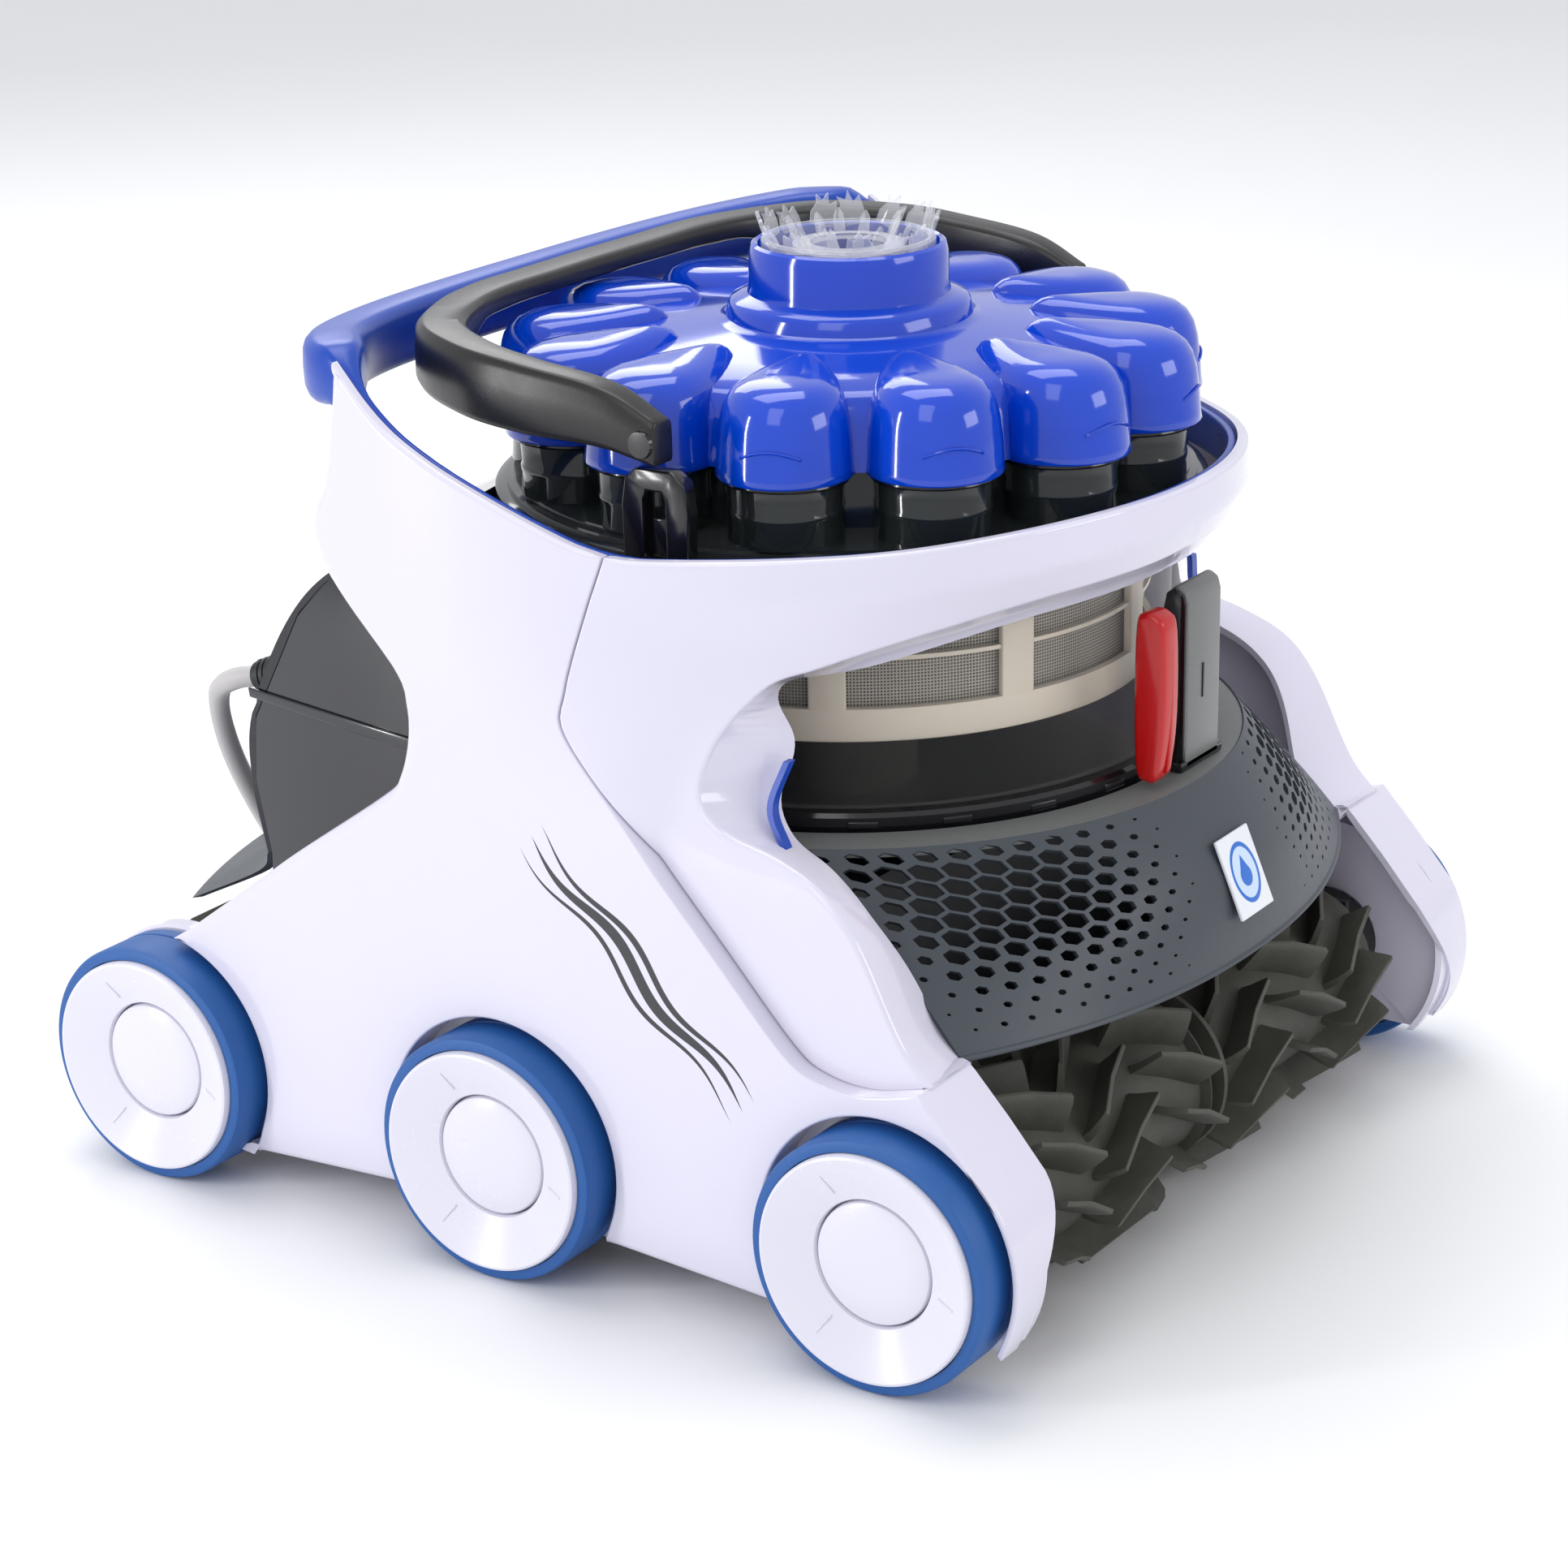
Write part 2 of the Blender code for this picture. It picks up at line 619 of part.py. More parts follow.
# Half of the bail: x, y, top, height and width of each section in millimetres.
BAIL_PATH = ((131.5, -50.5, 291, 14, 11), (131.5, -30, 300, 19, 14), (132, 0, 304, 22, 15),
             (128.5, 25, 306.5, 22, 17), (113, 51, 308, 20, 18), (85, 66, 308, 9, 17),
             (60, 72, 308, 7.5, 17), (30, 74, 307.5, 7, 17), (0, 74.5, 307.5, 7, 17))


def canister_handle():
    """Bail handle, lying back over the rear of the cover."""
    half = [[value * MM for value in row] for row in BAIL_PATH]
    rows = half + [[-row[0], *row[1:]] for row in half[-2::-1]]
    path = [Vector(row[:2]) for row in rows]
    sections = []
    for k, (spot, (_, _, top, tall, wide)) in enumerate(zip(path, rows)):
        ahead = path[min(k + 1, len(path) - 1)] - path[max(k - 1, 0)]
        across = Vector((ahead.y, -ahead.x)).normalized() * wide / 2
        a, b = spot + across, spot - across
        inner_top, outer_top = (b.x, b.y, top), (a.x, a.y, top - 0.003)
        sections.append([(a.x, a.y, top - tall), outer_top, ((a.x * 5 + b.x) / 6, (a.y * 5 + b.y) / 6, top),
                         inner_top, (b.x, b.y, top - tall)])
    bail = loft("canister_handle", sections, BLACK)
    set_origin(bail, (0, BAIL_PIVOT_Y, BAIL_PIVOT_Z))
    return bail


def latch():
    """Grey bracket on the ledge and the red lever that frees the canister."""
    bracket = to_metres(((-164, 155), (-157, 155), (-157, 165), (-155.5, 170), (-155.5, 212), (-156.5, 217),
                         (-159.5, 219), (-163, 217), (-164, 213)))
    prism_x("latch_bracket", bracket, 0.004, 0.028, GREY)
    lever = to_metres(((-166, 160), (-160, 157.5), (-157.5, 162), (-157, 185), (-157.5, 212), (-160, 216),
                       (-165, 215), (-168, 210), (-168.5, 180)))
    red = prism_x("release_lever", lever, -0.022, -0.006, RED)
    set_origin(red, (-0.014, -0.161, 0.161))
    return red


def badge_plate():
    """Plain badge on the slope of the grille."""
    plate = box("badge_plate", (-0.011, -0.0015, -0.014), (0.011, 0.0, 0.014), WHITE)
    lean = Matrix.Translation((-0.004, -0.19, 0.1262)) @ Matrix.Rotation(math.radians(-23), 4, "X")
    plate.data.transform(lean)
    return plate


# ------------------------------------------------------------ wheels

def wheel(label, row, side, y):
    """Tyre, hub with its axle and pulley, and cap of one wheel."""
    spot = (side * TYRE_OUT_X, y, WHEEL_R)
    tail = f"{row}_{label}"
    tyre = [(HUB_R + FIT, TYRE_IN_X), (WHEEL_R, TYRE_IN_X), (WHEEL_R, TYRE_OUT_X - 2 * MM),
            (WHEEL_R - 1.5 * MM, TYRE_OUT_X), (HUB_R + FIT, TYRE_OUT_X)]
    seat, recess = CAP_R + FIT, HUB_FACE_X - 12.5 * MM
    hub = [(0, recess), (seat, recess), (seat, recess + 5.5 * MM), (HUB_R - 2.1 * MM, HUB_FACE_X),
           (HUB_R, HUB_FACE_X - 1.5 * MM), (HUB_R, TYRE_IN_X + MM), (AXLE_R, 158 * MM),
           (AXLE_R, PULLEY_X[1]), (PULLEY_R, PULLEY_X[1]), (PULLEY_R, PULLEY_X[0]), (AXLE_R, PULLEY_X[0]),
           (AXLE_R, AXLE_END_X), (0, AXLE_END_X)]
    cap_face = recess + 6.1 * MM
    cap = [(0, cap_face), (CAP_R - 0.9 * MM, cap_face), (CAP_R, recess + 0.5 * MM), (0, recess + 0.5 * MM)]
    parts = [turned("tyre_" + tail, [(r, side * x) for r, x in tyre], TYRE, "X", (y, WHEEL_R), 28),
             turned("hub_" + tail, [(r, side * x) for r, x in hub], WHITE, "X", (y, WHEEL_R), 20),
             turned("cap_" + tail, [(r, side * x) for r, x in cap], WHITE, "X", (y, WHEEL_R), 20)]
    for part in parts:
        set_origin(part, spot)


def brush_half(label, row, side, y):
    """Core and bladed sleeve of one half of a brush roller."""
    x0, x1 = side * ROLLER_X[0], side * ROLLER_X[1]
    core = [(0, x0), (ROLLER_R, x0), (ROLLER_R, x1), (0, x1)]
    hub = turned(f"roller_core_{row}_{label}", core, GREY, "X", (y, WHEEL_R), 16)
    steps = 3
    rings, bores = [], []
    for k in range(steps):
        t = k / (steps - 1)
        x = side * (ROLLER_X[0] + 1.5 * MM + t * (ROLLER_X[1] - ROLLER_X[0] - 3 * MM))
        twist = side * 0.8 * (1 - abs(2 * t - 1))
        ring, bore = [], []
        for b in range(BLADES):
            base = math.tau * b / BLADES + twist
            for r, offset in ((SLEEVE_R, -0.11), (BLADE_R, -0.04), (BLADE_R, 0.04), (SLEEVE_R, 0.11)):
                ring.append((x, y + r * math.cos(base + offset), WHEEL_R + r * math.sin(base + offset)))
                a = base + offset * 2.4
                bore.append((x, y + (ROLLER_R + FIT) * math.cos(a), WHEEL_R + (ROLLER_R + FIT) * math.sin(a)))
        rings.append(ring)
        bores.append(bore)
    sleeve = loft(f"brush_sleeve_{row}_{label}", rings + bores[::-2], RUBBER, closed=True)
    for part in (hub, sleeve):
        set_origin(part, (side * ROLLER_X[0], y, WHEEL_R))


def drive_belt(label, side):
    """Belt round the three wheel pulleys of one side."""
    loops = []
    for radius in (PULLEY_R + FIT + BELT_T, PULLEY_R + FIT):
        loop = []
        for end in (1, -1):
            for k in range(13):
                loop.append((end * WHEEL_PITCH + end * radius * math.sin(math.pi * k / 12),
                             WHEEL_R + end * radius * math.cos(math.pi * k / 12)))
        loops.append(loop)
    x0, x1 = side * (PULLEY_X[0] + 0.5 * MM), side * (PULLEY_X[1] - 0.5 * MM)
    outer, inner = loops
    edges = ((x0, outer), (x1, outer), (x1, inner), (x0, inner))
    sections = [[(x, *p) for p in line] for x, line in edges]
    return loft("drive_belt_" + label, sections, RUBBER, closed=True)


def drive_pulley(label, side):
    """Pulley of the drive motor, inside the belt, with its shaft."""
    inner, outer = PULLEY_X[0] + 0.5 * MM, PULLEY_X[1] - 0.5 * MM
    profile = [(0, outer), (PULLEY_R, outer), (PULLEY_R, inner), (AXLE_R, inner), (AXLE_R, 115 * MM),
               (0, 115 * MM)]
    pulley = turned("drive_pulley_" + label, [(r, side * x) for r, x in profile], GREY,
                    "X", (DRIVE_Y, WHEEL_R), 16)
    set_origin(pulley, (side * outer, DRIVE_Y, WHEEL_R))


# ------------------------------------------------------------ cord

CORD_ROUTE = ((-88.5, 164.5, 160), (-90, 173.5, 158), (-84.5, 187, 150), (-74, 197, 134), (-61, 203.3, 112),
              (-45.6, 205.5, 86), (-27.6, 206, 58), (-7.3, 206.5, 32), (15.3, 208.9, 13), (42.4, 211, 5.2),
              (72, 211.5, 4.2), (102, 216, 4.2), (130, 228, 4.2), (152, 247, 4.3))


def cord():
    """Floating cable: the free stretch, the coil of the rest, its plug and its gland."""
    route = smooth_path([Vector(p) * MM for p in CORD_ROUTE], 4)
    curve = bpy.data.curves.new("cord", "CURVE")
    curve.dimensions = "3D"
    curve.bevel_depth = CORD_D / 2
    curve.bevel_resolution = 2
    curve.use_fill_caps = True
    line = curve.splines.new("POLY")
    line.points.add(len(route) - 1)
    for point, spot in zip(line.points, route):
        point.co = (*spot, 1)
    curve.materials.append(material(*CABLE))
    tube = bpy.data.objects.new("cord", curve)
    bpy.context.scene.collection.objects.link(tube)
    inner, outer = COIL_MEAN_R - COIL_HALF_W, COIL_MEAN_R + COIL_HALF_W
    shoulder = COIL_H - 6 * MM
    ring = [(inner, 2 * MM), (inner + 3 * MM, 0.3 * MM), (outer - 3 * MM, 0.3 * MM), (outer, 4 * MM),
            (outer, shoulder), (outer - 8 * MM, COIL_H), (inner + 8 * MM, COIL_H), (inner, shoulder)]
    turned("cord_coil", ring, CABLE, centre=COIL_CENTRE, segments=32)
    plug = [(0, 0), (7, 0), (7, 6), (11, 8), (11, 34), (8, 36), (8, 44), (0, 44)]
    fitting = turned("cord_plug", [(r * MM, h * MM) for r, h in plug], BLACK, segments=16)
    spot = Matrix.Translation((COIL_CENTRE[0] - 0.03, COIL_CENTRE[1] + 0.06, COIL_H + 0.0115))
    turn = Matrix.Rotation(math.radians(90), 4, "Y") @ Matrix.Rotation(math.radians(20), 4, "X")
    fitting.data.transform(spot @ turn)
    return tube


def cord_gland():
    """Ribbed strain relief where the cord leaves the rear cover."""
    sleeve = [(0, 0), (9, 0), (8, 4), (6.5, 14), (6, 18), (0, 18)]
    gland = turned("cord_gland", [(r * MM, h * MM) for r, h in sleeve], GREY, segments=16)
    aim = (Vector(CORD_ROUTE[1]) - Vector(CORD_ROUTE[0])).normalized()
    start = Vector(CORD_ROUTE[0]) * MM - aim * 18.8 * MM
    gland.data.transform(Matrix.Translation(start) @ aim.to_track_quat("Z", "Y").to_matrix().to_4x4())
    return gland


def main():
    """Build every part."""
    clear_scene()
    for label, side in SIDES:
        side_panel("side_panel_" + label, side)
    front_frame()
    carry_frame()
    chassis()
    base_plate()
    intake_duct()
    intake_flap()
    motor_pod()
    pump_impeller()
    front_grille()
    rear_cover()
    badge_plate()
    latch()
    canister()
    canister_handle()
    for label, side in SIDES:
        for row, y in WHEEL_ROWS:
            wheel(label, row, side, y)
            if y:
                brush_half(label, row, side, y)
        drive_belt(label, side)
        drive_pulley(label, side)
    cord()
    cord_gland()


main()
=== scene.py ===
"""Looks of a six-wheeled robotic pool cleaner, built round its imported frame.

Units are metres, +Z is up and the front faces -Y. Every sub-assembly is a class
that builds its meshes and dresses them, and Shop hands the finished pieces over
to the frame.
"""

from __future__ import annotations

import logging
import math
from dataclasses import dataclass, field
from enum import Enum
from typing import Callable, Iterable, Sequence

import bmesh
import bpy
import numpy as np
from mathutils import Matrix, Vector
from mathutils.geometry import delaunay_2d_cdt


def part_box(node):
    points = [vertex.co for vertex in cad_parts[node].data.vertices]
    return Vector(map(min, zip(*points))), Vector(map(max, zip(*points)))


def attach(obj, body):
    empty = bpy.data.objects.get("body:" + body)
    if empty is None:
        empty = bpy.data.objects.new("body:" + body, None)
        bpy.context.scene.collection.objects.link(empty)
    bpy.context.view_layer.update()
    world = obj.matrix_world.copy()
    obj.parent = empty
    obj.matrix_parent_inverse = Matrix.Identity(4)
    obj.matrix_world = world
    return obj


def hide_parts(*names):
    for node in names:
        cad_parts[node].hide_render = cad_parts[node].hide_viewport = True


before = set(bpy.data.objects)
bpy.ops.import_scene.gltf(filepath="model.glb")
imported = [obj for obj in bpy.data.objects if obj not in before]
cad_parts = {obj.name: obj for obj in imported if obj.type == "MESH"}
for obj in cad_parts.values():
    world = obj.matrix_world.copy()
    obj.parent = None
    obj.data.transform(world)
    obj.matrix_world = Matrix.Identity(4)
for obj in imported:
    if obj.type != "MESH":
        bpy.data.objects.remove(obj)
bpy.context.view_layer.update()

MM = 0.001
SAME_SPOT = 0.000002
LOG = logging.getLogger("pool_cleaner")
Point = Sequence[float]
Pair = tuple[float, float]
Colour = tuple[float, float, float]
Socket = bpy.types.NodeSocket
Piece = bpy.types.Object


class Body(Enum):
    """Bodies of the frame that a piece can ride on."""

    MACHINE = "machine"
    CANISTER = "canister"
    BAIL = "bail"
    LEVER = "lever"


class Side(Enum):
    """The two sides of the machine, with the sign of their X."""

    LEFT = -1
    RIGHT = 1

    @property
    def label(self) -> str:
        """Name of the side as the nodes spell it."""
        return self.name.lower()


class Row(Enum):
    """The three wheel rows, with their depth in millimetres."""

    FRONT = -150
    MIDDLE = 0
    REAR = 150

    @property
    def label(self) -> str:
        """Name of the row as the nodes spell it."""
        return self.name.lower()


# --- shader kit

class Val:
    """A number that flows through a shader, with Python's arithmetic."""

    def __init__(self, kit: "Kit", socket: Socket) -> None:
        self.kit, self.socket = kit, socket

    def _math(self, operation: str, *values: "Val | float", clamp: bool = False) -> "Val":
        """Add one Math node for an operation on these values."""
        return self.kit.maths(operation, *values, clamp=clamp)

    def __add__(self, other: "Val | float") -> "Val":
        """Add."""
        return self._math("ADD", self, other)

    __radd__ = __add__

    def __sub__(self, other: "Val | float") -> "Val":
        """Subtract."""
        return self._math("SUBTRACT", self, other)

    def __rsub__(self, other: float) -> "Val":
        """Subtract from a number."""
        return self._math("SUBTRACT", other, self)

    def __mul__(self, other: "Val | float") -> "Val":
        """Multiply."""
        return self._math("MULTIPLY", self, other)

    __rmul__ = __mul__

    def __truediv__(self, other: "Val | float") -> "Val":
        """Divide."""
        return self._math("DIVIDE", self, other)

    def __pow__(self, other: float) -> "Val":
        """Raise to a power."""
        return self._math("POWER", self, other)

    def sin(self) -> "Val":
        """Sine of the value in radians."""
        return self._math("SINE", self)

    def abs(self) -> "Val":
        """Size without the sign."""
        return self._math("ABSOLUTE", self)

    def above(self, edge: float, soft: float = 0.0002) -> "Val":
        """Mask that is 1 above an edge and 0 below it, with a soft step."""
        return self._math("MULTIPLY", self - (edge - soft / 2), 1 / soft, clamp=True)

    def below(self, edge: float, soft: float = 0.0002) -> "Val":
        """Mask that is 1 below an edge."""
        return 1 - self.above(edge, soft)


class Kit:
    """Builds the node tree of one material."""

    def __init__(self, name: str) -> None:
        """Start a material that holds one Principled shader."""
        self.material = bpy.data.materials.new(name)
        self.material.use_nodes = True
        self.tree = self.material.node_tree
        self.shader = self.tree.nodes["Principled BSDF"]

    def node(self, kind: str, settings: dict | None = None, **sockets: object) -> bpy.types.Node:
        """Add a node.

        Args:
            kind: the node's type name.
            settings: attributes that are set before its sockets.
            sockets: a value or a link for each input; spaces are written as _.

        Returns:
            The new node.
        """
        node = self.tree.nodes.new(kind)
        for key, value in (settings or {}).items():
            setattr(node, key, value)
        for key, value in sockets.items():
            self.feed(node.inputs[key.replace("_", " ")], value)
        return node

    def feed(self, socket: Socket, value: object) -> None:
        """Set a socket to a value, or link it.

        Args:
            socket: the input to feed.
            value: a number, a colour, a Val or an output socket.
        """
        if isinstance(value, Val):
            value = value.socket
        if isinstance(value, Socket):
            self.tree.links.new(value, socket)
        else:
            socket.default_value = value

    def maths(self, operation: str, *values: "Val | float", clamp: bool = False) -> Val:
        """Add a Math node.

        Args:
            operation: the node's operation.
            values: its inputs, in order.
            clamp: hold the result between 0 and 1.

        Returns:
            The result.
        """
        node = self.node("ShaderNodeMath", {"operation": operation, "use_clamp": clamp})
        for socket, value in zip(node.inputs, values):
            self.feed(socket, value)
        return Val(self, node.outputs[0])

    def place(self, centre: Point = (0, 0, 0), turn: Point = (0, 0, 0)) -> Socket:
        """Object coordinates, centred on a point and then turned.

        Args:
            centre: the new origin, in metres.
            turn: turn in radians.

        Returns:
            The coordinates' socket.
        """
        coord = self.node("ShaderNodeTexCoord").outputs["Object"]
        moved = self.node("ShaderNodeVectorMath", {"operation": "SUBTRACT"})
        self.feed(moved.inputs[0], coord)
        moved.inputs[1].default_value = centre
        mapping = self.node("ShaderNodeMapping", Vector=moved.outputs[0], Rotation=turn)
        return mapping.outputs[0]

    def axes(self, vector: Socket) -> tuple[Val, Val, Val]:
        """Split a vector into its three numbers."""
        node = self.node("ShaderNodeSeparateXYZ", Vector=vector)
        return tuple(Val(self, out) for out in node.outputs)

    def noise(self, scale: float, detail: float = 3, rough: float = 0.5,
              vector: Socket | None = None) -> Val:
        """Noise from 0 to 1.

        Args:
            scale: waves per metre.
            detail: number of octaves.
            rough: strength of the finer octaves.
            vector: coordinates, or None for the object's own.

        Returns:
            The noise.
        """
        node = self.node("ShaderNodeTexNoise", Vector=vector or self.place(), Scale=scale, Detail=detail,
                         Roughness=rough)
        return Val(self, node.outputs["Fac"])

    def mix(self, mask: Val, low: object, high: object) -> Socket:
        """Mix two colours by a mask.

        Args:
            mask: share of the second colour.
            low: colour where the mask is 0.
            high: colour where it is 1.

        Returns:
            The mixed colour's socket.
        """
        node = self.node("ShaderNodeMix", {"data_type": "RGBA"})
        self.feed(node.inputs["Factor"], mask)
        for index, value in ((6, low), (7, high)):
            if isinstance(value, tuple) and len(value) == 3:
                value = (*value, 1.0)
            self.feed(node.inputs[index], value)
        return node.outputs[2]

    def bump(self, height: Val, depth: float, strength: float = 1.0) -> None:
        """Feed a bump of a depth in metres to the shader's normal."""
        node = self.node("ShaderNodeBump", Height=height, Distance=depth, Strength=strength)
        self.feed(self.shader.inputs["Normal"], node.outputs[0])

    def set(self, **sockets: object) -> None:
        """Set or link sockets of the shader; spaces are written as _."""
        for key, value in sockets.items():
            self.feed(self.shader.inputs[key.replace("_", " ")], value)


@dataclass(frozen=True)
class Finish:
    """A moulded finish: colour drift, haze, fine grain and rubbed spots."""

    name: str
    colour: Colour
    rough: float
    haze: float = 0.06
    drift: float = 0.05
    grain: float = 1800.0
    relief: float = 0.00002
    coat: float = 0.0
    metallic: float = 0.0
    ior: float = 1.5
    alpha: float = 1.0
    edge_alpha: float = 0.0

    def start(self) -> tuple[Kit, Val]:
        """Make the material and the slow noise that its layers share.
        """
        kit = Kit(self.name)
        slow = kit.noise(22, 4, 0.55)
        kit.set(Metallic=self.metallic, IOR=self.ior, Coat_Weight=self.coat, Coat_Roughness=0.04)
        return kit, slow

    def tint(self, kit: Kit, slow: Val) -> Socket:
        """Base colour with a slow drift between a darker and a lighter tone.

        Args:
            kit: the material's kit.
            slow: its slow noise.

        Returns:
            The colour's socket.
        """
        low = tuple(c * (1 - self.drift) for c in self.colour)
        high = tuple(min(c * (1 + self.drift), 1) for c in self.colour)
        return kit.mix(slow, low, high)

    def surface(self, kit: Kit, slow: Val) -> None:
        """Roughness with handling haze, and the mould's fine grain.

        Args:
            kit: the material's kit.
            slow: its slow noise.
        """
        fine = kit.noise(260, 2, 0.6)
        kit.set(Roughness=self.rough + (slow - 0.5) * self.haze + (fine - 0.5) * self.haze * 0.6)
        kit.bump(kit.noise(self.grain, 2, 0.5), self.relief)

    def clear(self, kit: Kit) -> None:
        """Let light through, less so towards the rim of a round wall.

        Args:
            kit: the material's kit.
        """
        if self.alpha >= 1:
            return
        facing = Val(kit, kit.node("ShaderNodeLayerWeight", Blend=0.35).outputs["Facing"])
        kit.set(Alpha=facing ** 2.5 * self.edge_alpha + self.alpha)

    def material(self) -> bpy.types.Material:
        """Return the finish's material, which is built the first time it is asked for."""
        return bpy.data.materials.get(self.name) or self.build()

    def build(self) -> bpy.types.Material:
        """Build the material: tint, haze, grain and clearness.

        Returns:
            The material.
        """
        kit, slow = self.start()
        kit.set(Base_Color=self.tint(kit, slow))
        self.surface(kit, slow)
        self.clear(kit)
        return kit.material


@dataclass(frozen=True)
class PanelFinish(Finish):
    """White moulding with a printed wave on its slope."""

    ink: Colour = (0.012, 0.014, 0.02)
    anchor: Pair = (-0.0580, 0.1190)
    tilt: float = 43.5
    half_length: float = 0.056

    def build(self) -> bpy.types.Material:
        """Build the white with three tapering wave lines in ink.

        Returns:
            The material.
        """
        kit, slow = self.start()
        turn = math.radians(self.tilt)
        _, across, up = kit.axes(kit.place((0, *self.anchor)))
        along = across * math.cos(turn) + up * math.sin(turn)
        off = up * math.cos(turn) - across * math.sin(turn)
        reach = along.abs().below(self.half_length, 0.0004)
        taper = 1 - (along / self.half_length) ** 2
        ink = None
        for shift, thick in ((0.0050, 0.0013), (0.0, 0.0022), (-0.0056, 0.0010)):
            wave = (along * 118 + shift * 90).sin() * 0.0026
            line = kit.maths("SUBTRACT", thick * taper, (off - shift - wave).abs())
            mask = line.above(0, 0.00015)
            ink = mask if ink is None else kit.maths("MAXIMUM", ink, mask)
        kit.set(Base_Color=kit.mix(ink * reach, self.tint(kit, slow), self.ink))
        self.surface(kit, slow)
        return kit.material


@dataclass(frozen=True)
class MeshFinish(Finish):
    """Woven screen: round threads with half-open squares between them, painted dark as shade."""

    pitch: float = 0.0011

    def build(self) -> bpy.types.Material:
        """Build a screen wrapped round the canister's axis.

        Returns:
            The material.
        """
        kit, slow = self.start()
        x, y, z = kit.axes(kit.place((0, CAN_Y, 0)))
        turn = kit.maths("ARCTAN2", y, x) * 0.0992
        lines = [(value * (math.pi / self.pitch)).sin().abs() for value in (turn, z)]
        thread = kit.maths("MINIMUM", *lines).below(0.55, 0.12)
        # The open squares take a third of the thread colour: painted shade of the basket's inside seen
        # through them.
        kit.set(Base_Color=kit.mix(thread, tuple(c * 0.35 for c in self.colour), self.tint(kit, slow)),
                Roughness=self.rough + (slow - 0.5) * self.haze, Alpha=thread * 0.45 + 0.5)
        kit.bump(thread, 0.0002)
        return kit.material


@dataclass(frozen=True)
class RubberFinish(Finish):
    """Matt rubber with scuffs, dust and a coarse skin."""

    dust: Colour = (0.2, 0.19, 0.16)

    def build(self) -> bpy.types.Material:
        """Build the rubber, with dust gathered in broad patches.

        Returns:
            The material.
        """
        kit, slow = self.start()
        patches = kit.noise(60, 5, 0.65)
        kit.set(Base_Color=kit.mix((patches - 0.42) * 0.55, self.tint(kit, slow), self.dust))
        fine = kit.noise(420, 4, 0.7)
        kit.set(Roughness=self.rough + (patches - 0.5) * 0.25 + (fine - 0.5) * 0.1)
        kit.bump(fine + patches * 0.6, self.relief)
        return kit.material


@dataclass(frozen=True)
class BadgeFinish(Finish):
    """White plate printed with a ring and a droplet."""

    centre: Point = (-0.004, -0.19, 0.1262)
    lean: float = -23.0
    print_blue: Colour = (0.02, 0.16, 0.62)

    def build(self) -> bpy.types.Material:
        """Build the print with the roundel in the plate's own plane.

        Returns:
            The material.
        """
        kit, slow = self.start()
        x, _, z = kit.axes(kit.place(self.centre, (math.radians(-self.lean), 0, 0)))
        flat = (x * x * 1.55 + z * z) ** 0.5
        disc = flat.below(0.0105, 0.0003)
        ring = flat.above(0.0088, 0.0003) * disc
        drop_z = z + 0.0012
        drop = ((x * x + drop_z * drop_z) ** 0.5).below(0.0036, 0.0003)
        tip = (x.abs() * 1.9 + z).below(0.0062, 0.0003) * z.above(0.0002, 0.0003)
        tip = tip * x.abs().below(0.0034, 0.0003)
        mark = kit.maths("MAXIMUM", ring, kit.maths("MAXIMUM", drop, tip))
        pale = kit.mix(disc, self.colour, (0.62, 0.75, 0.95))
        kit.set(Base_Color=kit.mix(mark, pale, self.print_blue))
        self.surface(kit, slow)
        return kit.material


@dataclass(frozen=True)
class CableFinish(Finish):
    """Foam-filled cable jacket with a faint lay and handling marks."""

    def build(self) -> bpy.types.Material:
        """Build the jacket from the tube's own UV map.

        Returns:
            The material.
        """
        kit, slow = self.start()
        uv = kit.node("ShaderNodeTexCoord").outputs["UV"]
        marks = kit.noise(30, 4, 0.6, uv)
        kit.set(Base_Color=kit.mix(marks, tuple(c * 0.86 for c in self.colour), self.colour))
        kit.set(Roughness=self.rough + (marks - 0.5) * 0.2)
        kit.bump(kit.noise(900, 3, 0.6), self.relief)
        return kit.material


@dataclass(frozen=True)
class FloorFinish(Finish):
    """Pale floor with a trace of unevenness in its sheen."""

    far: Colour = (0.93, 0.93, 0.93)

    def build(self) -> bpy.types.Material:
        """Build the floor's material.

        Returns:
            The material.
        """
        kit = Kit(self.name)
        slow = kit.noise(3, 3)
        kit.set(Base_Color=kit.mix(slow, self.colour, self.far), Roughness=self.rough + slow * self.haze)
        return kit.material


WHITE = Finish("white_gloss_moulding", (0.72, 0.70, 0.82), 0.14, 0.05, 0.015, coat=0.5, relief=0.000006)
HUB_WHITE = Finish("white_hub_moulding", (0.74, 0.73, 0.82), 0.26, 0.08, 0.02, relief=0.00001)
BLUE = Finish("royal_blue_gloss", (0.0, 0.052, 0.56), 0.11, 0.05, 0.06, coat=0.5, relief=0.000006)
HANDLE_BLUE = Finish("handle_blue_satin", (0.003, 0.055, 0.42), 0.3, 0.1, 0.06, relief=0.00002)
TYRE_BLUE = RubberFinish("blue_tyre_rubber", (0.010, 0.095, 0.34), 0.5, 0.1, 0.1, relief=0.00004,
                         dust=(0.03, 0.13, 0.36))
GRILLE = Finish("grille_satin_grey", (0.052, 0.062, 0.075), 0.42, 0.14, 0.1, relief=0.00004)
LEDGE = Finish("ledge_light_grey", (0.16, 0.17, 0.165), 0.5, 0.14, 0.08, relief=0.00004)
COVER_GREY = Finish("rear_cover_gloss", (0.012, 0.013, 0.018), 0.14, 0.06, 0.1, coat=0.5, relief=0.00001)
BLACK = Finish("black_gloss_moulding", (0.008, 0.008, 0.01), 0.14, 0.08, 0.1, coat=0.2, relief=0.00001)
BAIL_BLACK = Finish("bail_black_satin", (0.010, 0.010, 0.010), 0.3, 0.12, 0.1, relief=0.00003)
